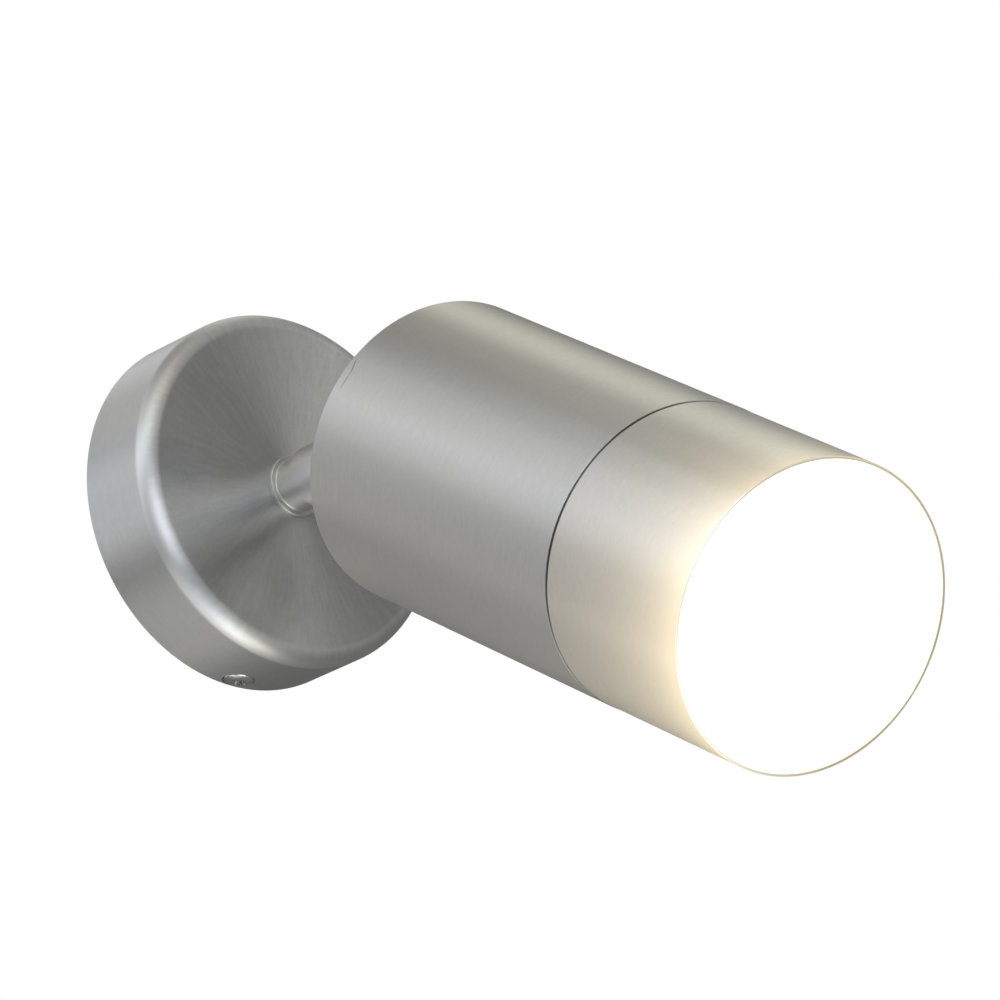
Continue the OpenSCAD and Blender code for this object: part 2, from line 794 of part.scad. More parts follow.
module holder_bracket() {
    color("lightgray") on_head() difference() {
        union() {
            translate([-bracket_half, -bracket_w / 2, bracket_base_s])
                cube([2 * bracket_half, bracket_w, bracket_t]);
            for (side = [0, 1]) mirror([side, 0, 0]) {
                translate([bracket_half - bracket_t, -bracket_w / 2, cap_front_s])
                    cube([bracket_t, bracket_w, bracket_top_s - cap_front_s]);
                translate([bracket_half - bracket_foot, -bracket_w / 2, cap_front_s])
                    cube([bracket_foot, bracket_w, bracket_t]);
            }
        }
        for (side = [-1, 1]) {
            translate([side * bracket_screw_at, 0, cap_front_s - over])
                cylinder(r = m3_r + loose_fit / 2, h = bracket_t + 2 * over);
            translate([side * holder_screw_at, 0, bracket_base_s - over])
                cylinder(r = m3_r + loose_fit / 2, h = bracket_t + 2 * over);
            translate([side * pin_r_at, 0, bracket_base_s - over])
                cylinder(d = lead_d + 4 * loose_fit, h = bracket_t + 2 * over);
        }
    }
}

module bracket_screws() {
    foot_top = cap_front_s + bracket_t;
    color("gainsboro") on_head() {
        translate([-bracket_screw_at, 0, foot_top])
            cross_screw(2 * m3_head_r, screw_head_h, 2 * m3_r, bracket_t + bracket_screw_depth);
        translate([bracket_screw_at, 0, foot_top + tag_t])
            cross_screw(2 * m3_head_r, screw_head_h, 2 * m3_r, bracket_t + tag_t + bracket_screw_depth);
    }
}

module head_earth_tag() {
    color("gainsboro") on_head()
        translate([bracket_screw_at, 0, cap_front_s + bracket_t]) ring_tag(2 * m3_r);
}

// A round slot along the pins' circle, from the locked place to the place where they enter
module pin_track(half_w, h) {
    rotate_extrude(angle = lamp_twist) translate([pin_r_at - half_w, 0]) square([2 * half_w, h]);
    for (turn = [0, lamp_twist]) rotate([0, 0, turn]) translate([pin_r_at, 0, 0]) cylinder(r = half_w, h = h);
}

module lampholder() {
    track_w = pin_neck_r + loose_fit;
    head_w = pin_head_r + loose_fit;
    color("whitesmoke") on_head() difference() {
        intersection() {
            translate([0, 0, holder_bot_s]) cylinder(r = holder_r, h = holder_h);
            translate([-holder_r, -holder_flat, holder_bot_s])
                cube([2 * holder_r, 2 * holder_flat, holder_h]);
        }
        for (side = [0, 180]) rotate([0, 0, side]) {
            translate([0, 0, holder_top_s - holder_plate_t - over])
                pin_track(track_w, holder_plate_t + 2 * over);
            translate([0, 0, cavity_bot_s]) pin_track(head_w, holder_cavity_h);
            rotate([0, 0, lamp_twist]) translate([pin_r_at, 0, holder_top_s - holder_plate_t - over])
                cylinder(r = head_w + run_fit, h = holder_h);
            translate([pin_r_at, 0, holder_bot_s - over])
                cylinder(d = lead_d + 2 * loose_fit, h = cavity_bot_s - holder_bot_s + 2 * over);
            translate([holder_screw_at, 0, holder_bot_s - over])
                cylinder(r = m3_r + run_fit, h = holder_screw_depth + loose_fit + over);
        }
    }
}

module holder_screws() {
    color("gainsboro") on_head() for (side = [-1, 1])
        translate([side * holder_screw_at, 0, bracket_base_s]) rotate([180, 0, 0])
            cross_screw(2 * m3_head_r, screw_head_h, 2 * m3_r, bracket_t + holder_screw_depth);
}

module holder_contacts() {
    color("goldenrod") on_head() for (side = [-1, 1])
        translate([side * pin_r_at, 0, cavity_bot_s])
            cylinder(r = contact_r, h = contact_top_s - cavity_bot_s);
}

// From the nipple to one contact of the lampholder
module contact_lead(side, up) {
    start = nipple_end_s + head_lead_straight;
    settle = bracket_base_s - contact_lead_straight;
    path = concat(
        [head_pt(0, up, lead_join_s)],
        curve([
            head_pt(0, up, start),
            head_pt(0, up, start + contact_lead_slack),
            head_pt(side * pin_r_at, 0, settle - contact_lead_slack),
            head_pt(side * pin_r_at, 0, settle)
        ]),
        [head_pt(side * pin_r_at, 0, cavity_bot_s)]
    );
    lead(path, [1, 0, 0.02]);
}

module earth_lead_to_tag(up) {
    tag_end = m3_r + tag_eye_w + tag_lead_in;
    tag_mouth = tag_end + tag_straight;
    tag_axis = cap_front_s + bracket_t + tag_barrel_d / 2;
    start = nipple_end_s + head_lead_straight;
    path = concat(
        [head_pt(0, up, lead_join_s)],
        curve([
            head_pt(0, up, start),
            head_pt(0, up, start + earth_lead_slack),
            head_pt(bracket_screw_at, tag_mouth + earth_lead_slack, tag_axis),
            head_pt(bracket_screw_at, tag_mouth, tag_axis)
        ]),
        [head_pt(bracket_screw_at, tag_end, tag_axis)]
    );
    lead(path, [1, 0, 0.02]);
}

module head_leads() {
    color("saddlebrown") contact_lead(-1, -lead_pitch);
    color("steelblue") contact_lead(1, 0);
    color("yellowgreen") earth_lead_to_tag(lead_pitch);
}

// Lamp

module lamp_base() {
    color("white") on_head() difference() {
        translate([0, 0, lamp_back_s]) cylinder(r = lamp_base_r, h = lamp_base_len);
        for (side = [-1, 1])
            translate([side * pin_r_at, 0, lamp_back_s - over])
                cylinder(r = pin_neck_r + run_fit, h = pin_root + over);
    }
}

module lamp_pins() {
    color("gainsboro") on_head() for (side = [-1, 1]) translate([side * pin_r_at, 0, lamp_back_s]) {
        translate([0, 0, -pin_neck_len]) cylinder(r = pin_neck_r, h = pin_neck_len + pin_root);
        translate([0, 0, -pin_neck_len - pin_head_len]) cylinder(r = pin_head_r, h = pin_head_len);
    }
}

module lamp_body() {
    shoulder_s = lamp_back_s + lamp_base_len;
    flare_s = lamp_front_s - lamp_rim_len;
    in_r = lamp_r - lamp_shell_t;
    color("white") on_head() rotate_extrude() polygon([
        [0, shoulder_s], [lamp_base_r + 1, shoulder_s], [lamp_base_r + 2.5, shoulder_s + 2],
        [lamp_r, flare_s], [lamp_r, lamp_front_s], [in_r, lamp_front_s], [in_r, flare_s],
        [lamp_base_r, shoulder_s + 4], [0, shoulder_s + 4]
    ]);
}

module lamp_board() {
    color("honeydew") on_head()
        translate([0, 0, lamp_front_s - lamp_rim_len])
            cylinder(r = lamp_r - lamp_shell_t - run_fit, h = board_t);
}

module lamp_lens() {
    color("lightyellow") on_head()
        translate([0, 0, lamp_front_s - lamp_lens_t])
            cylinder(r = lamp_r - lamp_shell_t - run_fit, h = lamp_lens_t);
}

// Front ring and glass

module seam_gasket() {
    color("dimgray") on_head() translate([0, 0, tube_front_s])
        ring(head_r - seam_gap, spigot_r + run_fit, seam_gap);
}

module front_ring() {
    color("silver") on_head() rotate_extrude($fn = 144) polygon([
        [spigot_in_r, ring_rear_s - seam_gap - spigot_len], [spigot_r, ring_rear_s - seam_gap - spigot_len],
        [spigot_r, ring_rear_s], [ring_r - rim_chamfer, ring_rear_s], [ring_r, ring_rear_s + rim_chamfer],
        [ring_r, front_s - rim_chamfer], [ring_r - rim_chamfer, front_s],
        [rim_in_r, front_s], [rim_in_r, ledge_s],
        [spigot_in_r, ledge_s], [spigot_in_r, ledge_s - ledge_h], [ring_in_r, ledge_s - ledge_h],
        [ring_in_r, ring_rear_s + ledge_h], [spigot_in_r, ring_rear_s + ledge_h]
    ]);
}

module glass_gasket() {
    color("whitesmoke") on_head() translate([0, 0, ledge_s]) ring(glass_r, spigot_in_r, glass_gasket_t);
}

module front_glass() {
    edge = 0.3;
    color("lightyellow") on_head() translate([0, 0, front_s - glass_t]) rotate_extrude($fn = 144) polygon([
        [0, 0], [glass_r, 0], [glass_r, glass_t - edge], [glass_r - edge, glass_t], [0, glass_t]
    ]);
}

canopy();
stop_pin();
canopy_screws();
wall_plate();
cable_grommet();
terminal_block();
terminal_sleeves();
terminal_screws();
terminal_fixing_screw();
earth_screw();
earth_tag();
earth_link();
canopy_leads();
stem();
stem_fibre_washer();
stop_washer();
disc_spring();
stem_nut();
knuckle_fork();
knuckle_leads();
knuckle_tongue();
knuckle_washers();
pivot_screws();
rear_cap();
tongue_washer();
tongue_nut();
tube_body();
holder_bracket();
bracket_screws();
head_earth_tag();
lampholder();
holder_screws();
holder_contacts();
head_leads();
lamp_base();
lamp_pins();
lamp_body();
lamp_board();
lamp_lens();
seam_gasket();
front_ring();
glass_gasket();
front_glass();
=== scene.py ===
import json
from math import atan2, cos, pi, radians, sin

import bmesh
import bpy
from bpy.props import FloatProperty, FloatVectorProperty, PointerProperty
from bpy.types import NodeSocket, Operator, Panel, PropertyGroup
from mathutils import Matrix, Vector


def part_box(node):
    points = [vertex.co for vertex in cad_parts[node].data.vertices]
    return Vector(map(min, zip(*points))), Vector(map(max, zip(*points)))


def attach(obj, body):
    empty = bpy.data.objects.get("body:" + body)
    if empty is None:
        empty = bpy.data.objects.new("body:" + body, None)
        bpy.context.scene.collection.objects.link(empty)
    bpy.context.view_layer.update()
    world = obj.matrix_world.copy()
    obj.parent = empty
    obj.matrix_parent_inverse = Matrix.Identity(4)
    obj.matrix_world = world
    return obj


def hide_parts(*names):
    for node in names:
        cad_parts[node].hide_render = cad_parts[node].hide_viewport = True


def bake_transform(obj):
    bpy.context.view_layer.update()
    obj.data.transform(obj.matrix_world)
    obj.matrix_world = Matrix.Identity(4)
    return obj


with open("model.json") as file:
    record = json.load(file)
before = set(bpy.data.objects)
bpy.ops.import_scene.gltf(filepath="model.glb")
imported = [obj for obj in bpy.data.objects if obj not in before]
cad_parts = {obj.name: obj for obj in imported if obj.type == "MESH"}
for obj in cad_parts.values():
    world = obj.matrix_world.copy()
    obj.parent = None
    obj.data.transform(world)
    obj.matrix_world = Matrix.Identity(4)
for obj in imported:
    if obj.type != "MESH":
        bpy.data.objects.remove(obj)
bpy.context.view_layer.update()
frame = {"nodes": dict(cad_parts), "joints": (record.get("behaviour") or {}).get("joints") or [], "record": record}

bl_info = {
    "name": "Tube wall light",
    "version": (1, 0, 0),
    "blender": (4, 5, 0),
    "location": "3D View > Sidebar > Tube light",
    "description": "A brushed steel wall spotlight with a round canopy, a friction knuckle and a lit tube head",
    "category": "Add Mesh",
}

MM = 0.001
JOINTS = {joint["name"]: joint for joint in frame["joints"]}
PIVOT = Vector(JOINTS["tilt"]["pos_m"])
HEAD_AXIS = Vector(JOINTS["ring_turn"]["axis"]).normalized()
WALL_AXIS = Vector((0, -1, 0))
SIDEWAYS = Vector((1, 0, 0))
HEAD_UP = HEAD_AXIS.cross(SIDEWAYS)
# Local Z of these places runs out from the wall, and forward along the head from the tilt pivot
WALL_PLACE = Matrix.Rotation(radians(90), 4, "X")
HEAD_LEAN = WALL_AXIS.rotation_difference(HEAD_AXIS).to_matrix().to_4x4()
HEAD_PLACE = Matrix.Translation(PIVOT) @ HEAD_LEAN @ WALL_PLACE
SMOOTH_BELOW = radians(32)


def along_head(node):
    """The least and greatest distance of a CAD node along the head's axis from the tilt pivot."""
    reach = [(corner.co - PIVOT).dot(HEAD_AXIS) for corner in frame["nodes"][node].data.vertices]
    return min(reach), max(reach)


def out_from_wall(node):
    """The least and greatest distance of a CAD node from the wall."""
    low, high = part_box(node)
    return -high.y, -low.y


TUBE_BACK, TUBE_FRONT = along_head("tube_body")
RING_BACK, HEAD_FRONT = along_head("front_ring")
GLASS_BACK = along_head("front_glass")[0]
CAP_BACK, CAP_FRONT = along_head("rear_cap")
TUBE_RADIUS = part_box("tube_body")[1].x
RING_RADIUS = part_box("front_ring")[1].x
GLASS_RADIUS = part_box("front_glass")[1].x
CAP_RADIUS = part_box("rear_cap")[1].x
CANOPY_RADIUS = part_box("canopy")[1].x
CANOPY_DEPTH = out_from_wall("canopy")[1]
STEM_TAIL, STEM_END = out_from_wall("stem")
STEM_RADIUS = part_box("stem")[1].x
SIDE_SCREW_SEAT = CANOPY_RADIUS - 0.6 * MM
SIDE_SCREW_TURN = radians(-5.5)
HOLE_RADIUS = 5.05 * MM
LEAD_RADIUS = 0.88 * MM
# The width of the seam between the tube and the front ring, and the radius of its broken edges
SEAM_WIDTH = 0.52 * MM
SEAM_EDGE = 0.06 * MM


# Sizes and colours that a user would change


def measure(name, description, default, low, high):
    """A length that a user would change."""
    return FloatProperty(
        name=name, description=description, default=default, min=low, max=high, unit="LENGTH", precision=5)


def tint(name, description, default):
    """A colour that a user would change."""
    return FloatVectorProperty(
        name=name, description=description, default=default, min=0, max=1, subtype="COLOR")


class LightSizes(PropertyGroup):
    """Sizes of the sheet, the walls and the edges"""
    sheet: measure("Canopy sheet", "Sheet thickness of the canopy", 1.2 * MM, 0.8 * MM, 1.6 * MM)
    canopy_edge: measure(
        "Canopy edge radius", "Radius of the canopy's rounded front edge", 3.25 * MM, 2 * MM, 5 * MM)
    tube_wall: measure("Tube wall", "Wall thickness of the tube and the front ring", 1.5 * MM, 1 * MM, 2 * MM)
    rim: measure("Rim wall", "Wall of the rim around the front glass", 0.55 * MM, 0.4 * MM, 0.8 * MM)
    edge_break: measure("Edge break", "Radius of the broken edges of turned pieces", 0.15 * MM, 0.05 * MM, 0.4 * MM)


class LightFinish(PropertyGroup):
    """Colours and strengths of the steel and the lit glass"""
    steel: tint("Steel", "Colour of the brushed steel", (0.62, 0.61, 0.59))
    canopy_steel: tint("Canopy steel", "Colour of the canopy's more neutral steel", (0.61, 0.61, 0.61))
    grain: FloatProperty(
        name="Grain", description="How strongly the brush lines show", default=0.8, min=0, max=1, subtype="FACTOR")
    glow: tint("Glow", "Colour of the light that spills on the front ring", (0.68, 0.55, 0.33))
    glass: tint("Lit glass", "Colour of the lit front glass", (1.0, 0.97, 0.90))
    glass_strength: FloatProperty(
        name="Glass brightness", description="How bright the lit front glass is", default=1.25, min=0, max=5)


class StageSettings(PropertyGroup):
    """The floor and the camera"""
    floor: tint("Floor", "Colour of the plain floor", (0.8, 0.8, 0.79))
    floor_drop: measure("Floor drop", "Distance of the floor below the light", 0.62, 0.3, 3)
    lens: FloatProperty(
        name="Lens", description="Focal length of the camera in millimetres", default=287.11, min=20, max=600)


# Modelling helpers


def finished(name, bm, place):
    """Turns a bmesh into an object at the origin, with its place in its mesh and its normals outward."""
    bmesh.ops.remove_doubles(bm, verts=bm.verts, dist=1e-8)
    bmesh.ops.recalc_face_normals(bm, faces=bm.faces)
    bmesh.ops.transform(bm, matrix=place, verts=bm.verts)
    shade(bm)
    mesh = bpy.data.meshes.new(name)
    bm.to_mesh(mesh)
    bm.free()
    return in_scene(name, mesh)


def in_scene(name, data):
    """A new object in the scene."""
    piece = bpy.data.objects.new(name, data)
    bpy.context.scene.collection.objects.link(piece)
    return piece


def shade(bm):
    """Smooth faces, with every sharp edge kept sharp."""
    for face in bm.faces:
        face.smooth = True
    for edge in bm.edges:
        edge.smooth = edge.is_manifold and edge.calc_face_angle(0) < SMOOTH_BELOW


def outline_wire(bm, corners, closed):
    """A wire through (radius, height) corners. A corner with a third number is rounded to that radius."""
    points = [bm.verts.new((corner[0], 0, corner[1])) for corner in corners]
    last = [points[0]] if closed else []
    wire = [bm.edges.new(pair) for pair in zip(points, points[1:] + last)]
    rounded = [(point, corner[2]) for point, corner in zip(points, corners) if len(corner) > 2]
    for point, radius in rounded:
        support_corner(bm, point, radius)
    for point, radius in rounded:
        bmesh.ops.bevel(
            bm, geom=[point], offset=radius, offset_type="OFFSET", affect="VERTICES",
            segments=6 if radius < 1 * MM else 14, profile=0.5, material=-1)
    return list(bm.verts) + list(bm.edges)


def support_corner(bm, point, radius):
    """Adds a point on each side of a corner, so that its rounding doesn't shade the long faces beside it."""
    for edge in list(point.link_edges):
        far = edge.other_vert(point)
        length = edge.calc_length()
        if length > 2.6 * radius:
            bmesh.utils.edge_split(edge, point, 1.25 * radius / length)


def spun(bm, geom, angle, steps, rise=0.0, close=False):
    """Spins points and edges round local Z. Each step may rise, and a full turn may close on its start."""
    bmesh.ops.spin(
        bm, geom=geom, axis=(0, 0, 1), cent=(0, 0, 0), dvec=(0, 0, rise), angle=angle,
        steps=steps, use_merge=close, use_duplicate=False)


def turned(name, corners, place, closed=True, steps=192):
    """A piece turned round local Z from its outline."""
    bm = bmesh.new()
    spun(bm, outline_wire(bm, corners, closed), 2 * pi, steps, close=True)
    return finished(name, bm, place)


def cut(piece, cutters):
    """Takes the cutters out of a piece, and leaves the result in its own mesh."""
    for cutter in cutters:
        tool = piece.modifiers.new("cut", "BOOLEAN")
        tool.operation = "DIFFERENCE"
        tool.solver = "EXACT"
        tool.object = cutter
    view = bpy.context.evaluated_depsgraph_get()
    mesh = bpy.data.meshes.new_from_object(piece.evaluated_get(view))
    piece.modifiers.clear()
    old = piece.data
    name = old.name
    piece.data = mesh
    bpy.data.meshes.remove(old)
    mesh.name = name
    for cutter in cutters:
        bpy.data.objects.remove(cutter)
    bm = bmesh.new()
    bm.from_mesh(mesh)
    bmesh.ops.remove_doubles(bm, verts=bm.verts, dist=1e-7)
    shade(bm)
    bm.to_mesh(mesh)
    bm.free()


def round_bar(name, radius, start, end, place, steps=64):
    """A plain round bar along local Z, used as a cutter."""
    bm = bmesh.new()
    bmesh.ops.create_cone(
        bm, cap_ends=True, segments=steps, radius1=radius, radius2=radius, depth=end - start,
        matrix=Matrix.Translation((0, 0, (start + end) / 2)))
    return finished(name, bm, place)


def block(name, low, high, place):
    """A plain block between two corners, used as a cutter."""
    bm = bmesh.new()
    middle = (Vector(low) + Vector(high)) / 2
    size = Vector(high) - Vector(low)
    bmesh.ops.create_cube(bm, size=1, matrix=Matrix.Translation(middle) @ Matrix.Diagonal(size).to_4x4())
    return finished(name, bm, place)


def joined(first, *others):
    """Puts other pieces' meshes into the first piece's mesh."""
    bm = bmesh.new()
    for piece in (first, *others):
        bm.from_mesh(piece.data)
    bm.to_mesh(first.data)
    bm.free()
    for other in others:
        bpy.data.objects.remove(other)
    return first


def thread(name, root, crest, pitch, start, end, place, steps=32):
    """A helical thread ridge that stands on a core of the root radius."""
    half, flat = 0.4 * pitch, 0.08 * pitch
    sunk = root - 0.15 * pitch
    turns = (end - start - 2 * half) / pitch
    count = max(2, round(turns * steps))
    middle = start + half
    bm = bmesh.new()
    wire = outline_wire(bm, [
        (sunk, middle - half), (crest, middle - flat), (crest, middle + flat), (sunk, middle + half)], closed=True)
    spun(bm, wire, 2 * pi * turns, count, rise=turns * pitch / count)
    bmesh.ops.holes_fill(bm, edges=bm.edges, sides=4)
    return finished(name, bm, place)


def softened(name, node, radius):
    """A copy of a CAD node with its edges rounded."""
    bm = bmesh.new()
    bm.from_mesh(frame["nodes"][node].data)
    bmesh.ops.remove_doubles(bm, verts=bm.verts, dist=1e-7)
    bmesh.ops.dissolve_limit(bm, angle_limit=radians(0.5), verts=bm.verts, edges=bm.edges)
    piece = finished(name, bm, Matrix())
    rounding = piece.modifiers.new("rounded edges", "BEVEL")
    rounding.width = radius
    rounding.segments = 3
    rounding.limit_method = "ANGLE"
    rounding.angle_limit = radians(35)
    return piece


def dress(piece, *materials):
    """Puts materials in a piece's slots. Emptying the slots of a new piece would reset its faces to the first."""
    if piece.data.materials:
        piece.data.materials.clear()
    for material in materials:
        piece.data.materials.append(material)


def settle(piece, body, slot, node, *materials):
    """Dresses a finished piece, hides the CAD node that it stands for and puts the piece in its body. The slot
    argument is not used.
    """
    dress(piece, *materials)
    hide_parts(node)
    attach(piece, body)


# Shader groups

BLACK = (0, 0, 0, 1)
WHITE = (1, 1, 1, 1)
# Painted shade for the seam between the tube and the front ring
SEAM_SHADE = (0.4, 0.4, 0.39, 1)
# Painted highlight colour for the canopy's rounded front edge
EDGE_HIGHLIGHT_STEEL = (0.85, 0.85, 0.85, 1)
LIT_RIM = (0.8, 0.73, 0.58, 1)
# Angles round the head, from its top, at which the spilled light is brightest and reaches furthest
BRIGHT_SIDE = radians(-110)
FAR_SIDE = radians(154)


def fill(tree, node, **values):
    """Sets or links a node's inputs. An input is named, or numbered as i0, i1."""
    for name, value in values.items():
        key = int(name[1:]) if name[0] == "i" and name[1:].isdigit() else name.replace("_", " ")
        if isinstance(value, NodeSocket):
            tree.links.new(value, node.inputs[key])
        else:
            node.inputs[key].default_value = value


def add(tree, kind, settings=None, **values):
    """A shader node of a kind, with its settings and the values or links of its inputs."""
    node = tree.nodes.new("ShaderNode" + kind)
    for name, value in (settings or {}).items():
        setattr(node, name, value)
    fill(tree, node, **values)
    return node


def maths(tree, operation, first, second=0.0):
    return add(tree, "Math", {"operation": operation}, i0=first, i1=second).outputs[0]


def times(tree, first, second):
    return maths(tree, "MULTIPLY", first, second)


def vectors(tree, operation, first, second=(0, 0, 0)):
    node = add(tree, "VectorMath", {"operation": operation}, i0=first, i1=second)
    return node.outputs["Value"] if operation in ("DOT_PRODUCT", "LENGTH") else node.outputs["Vector"]


def scaled(tree, vector, factor):
    return add(tree, "VectorMath", {"operation": "SCALE"}, i0=vector, Scale=factor).outputs["Vector"]


def ranged(tree, value, low, high, to_low=0, to_high=1):
    """A value's place between two limits, as a place between two others."""
    return add(tree, "MapRange", {"clamp": True}, i0=value, i1=low, i2=high, i3=to_low, i4=to_high).outputs[0]


def mixed(tree, factor, first, second):
    """A colour between two others."""
    return add(tree, "Mix", {"data_type": "RGBA"}, i0=factor, i6=first, i7=second).outputs[2]


def opaque(colour, share=1.0):
    """A colour, or a darker share of it, with the fourth channel that a socket takes."""
    return [channel * share for channel in colour] + [1]


def object_place(tree):
    return add(tree, "TexCoord").outputs["Object"]


def noise(tree, place, scale, detail, roughness=0.5):
    return add(
        tree, "TexNoise", Vector=place, Scale=scale, Detail=detail, Roughness=roughness).outputs["Fac"]


def relief(tree, strength, distance, height):
    """The normal of a surface that is uneven by a height."""
    return add(tree, "Bump", Strength=strength, Distance=distance, Height=height).outputs["Normal"]


def round_grain_group():
    """Brush lines that run round an axis: fine and broad masks, the place along the axis and out from it."""
    group = bpy.data.node_groups.new("Round grain", "ShaderNodeTree")
    for way, kind, labels in (
            ("INPUT", "Vector", ("Axis", "Centre")), ("OUTPUT", "Float", ("Fine", "Broad", "Along", "Radius")),
            ("OUTPUT", "Vector", ("Outward",))):
        for label in labels:
            group.interface.new_socket(label, in_out=way, socket_type="NodeSocket" + kind)
    inside, outside = (group.nodes.new("NodeGroup" + end) for end in ("Input", "Output"))
    axis = inside.outputs["Axis"]
    spot = vectors(group, "SUBTRACT", object_place(group), inside.outputs["Centre"])
    along = vectors(group, "DOT_PRODUCT", spot, axis)
    across = vectors(group, "SUBTRACT", spot, scaled(group, axis, along))
    radius = vectors(group, "LENGTH", across)
    outward = vectors(group, "NORMALIZE", across)
    path = maths(group, "SUBTRACT", along, radius)

    def brush_lines(per_metre, turns, detail):
        spread = vectors(
            group, "ADD", scaled(group, outward, turns), scaled(group, axis, times(group, path, per_metre)))
        return noise(group, spread, 1.0, detail, 0.6)

    fill(
        group, outside, Fine=brush_lines(5200, 24.0, 3.0), Broad=brush_lines(700, 9.0, 2.0),
        Along=along, Radius=radius, Outward=outward)
    return group


def shader(material):
    """A material's node tree and its shader."""
    return material.node_tree, material.node_tree.nodes["Principled BSDF"]


def steel_parts(material):
    """A brushed steel's node tree, its shader and its grain."""
    tree, surface = shader(material)
    return tree, surface, next(node for node in tree.nodes if node.bl_idname == "ShaderNodeGroup")


def present(surface, name):
    """What feeds a shader's input so far."""
    return surface.inputs[name].links[0].from_socket


def new_material(name):
    material = bpy.data.materials.new(name)
    material.use_nodes = True
    return material


def grain_node(tree, axis, centre):
    """The brush lines' group, placed in a material."""
    group = bpy.data.node_groups.get("Round grain") or round_grain_group()
    return add(tree, "Group", {"node_tree": group}, Axis=axis, Centre=centre)


def grain_direction(tree, axis, centre):
    """The direction of brush lines that run round an axis."""
    line = vectors(tree, "CROSS_PRODUCT", axis, vectors(tree, "SUBTRACT", object_place(tree), centre))
    return add(
        tree, "VectorTransform",
        {"vector_type": "VECTOR", "convert_from": "OBJECT", "convert_to": "WORLD"},
        i0=vectors(tree, "NORMALIZE", line)).outputs[0]


def brushed_steel(name, axis, centre, colour=None, roughness=0.36, stretch=0.85):
    """Stainless steel brushed round an axis."""
    finish = bpy.context.scene.light_finish
    colour = finish.steel if colour is None else colour
    material = new_material(name)
    tree, surface = shader(material)
    grain = grain_node(tree, axis, centre)
    fine, broad = (ranged(tree, grain.outputs[label], 0.3, 0.7) for label in ("Fine", "Broad"))
    lines = maths(tree, "ADD", times(tree, fine, 0.75), times(tree, broad, 0.25))
    fill(
        tree, surface, Metallic=1, Anisotropic=stretch, Anisotropic_Rotation=0.25,
        Base_Color=mixed(tree, lines, opaque(colour, 1 - 0.16 * finish.grain), opaque(colour)),
        Roughness=ranged(tree, lines, 0, 1, roughness + 0.02, roughness - 0.02),
        Tangent=grain_direction(tree, axis, centre),
        Normal=relief(tree, 0.12 * finish.grain, 0.04 * MM, lines))
    return material


def canopy_steel(name):
    """The canopy's brushed steel, with fine spokes on its face and a painted highlight that lightens its rounded
    front edge.
    """
    finish = bpy.context.scene.light_finish
    edge = bpy.context.scene.light_sizes.canopy_edge
    material = brushed_steel(name, WALL_AXIS, (0, 0, 0), finish.canopy_steel, roughness=0.38, stretch=0.8)
    tree, surface, grain = steel_parts(material)
    on_edge = times(tree, *(
        ranged(tree, grain.outputs[label], reach - edge - 0.3 * MM, reach - edge + 0.4 * MM)
        for label, reach in (("Along", CANOPY_DEPTH), ("Radius", CANOPY_RADIUS))))
    # Fine spokes where the brush lines of the face catch the light: their number round it and their breaks
    spread = vectors(
        tree, "ADD", scaled(tree, grain.outputs["Outward"], 26.0),
        scaled(tree, WALL_AXIS, times(tree, grain.outputs["Radius"], 170.0)))
    spokes = ranged(tree, noise(tree, spread, 1.0, 4.0, 0.7), 0.35, 0.65)
    on_face = ranged(
        tree, grain.outputs["Along"], CANOPY_DEPTH - 1.5 * MM, CANOPY_DEPTH - 0.5 * MM, 0, 0.14 * finish.grain)
    # A painted highlight lightens the rounded front edge
    edge_highlighted = mixed(tree, times(tree, on_edge, 0.4), present(surface, "Base Color"), EDGE_HIGHLIGHT_STEEL)
    fill(
        tree, surface, Base_Color=mixed(tree, times(tree, spokes, on_face), edge_highlighted, BLACK),
        Roughness=ranged(tree, on_edge, 0, 1, present(surface, "Roughness"), 0.48))
    return material


def paint_seam_shade(tree, surface, grain, start, end):
    """Paints shade on a steel between two distances along its axis, darkening the seam between two parts."""
    soft = 0.04 * MM
    along = grain.outputs["Along"]
    inside = times(
        tree, ranged(tree, along, start - soft, start + soft), ranged(tree, along, end - soft, end + soft, 1, 0))
    fill(tree, surface, Base_Color=mixed(tree, inside, present(surface, "Base Color"), SEAM_SHADE))


def tube_steel(name):
    """The tube's brushed steel, with painted shade at the seam."""
    material = brushed_steel(name, HEAD_AXIS, PIVOT)
    # Painted shade darkens the tube at the seam
    paint_seam_shade(*steel_parts(material), TUBE_FRONT - SEAM_EDGE, TUBE_FRONT + 1 * MM)
    return material


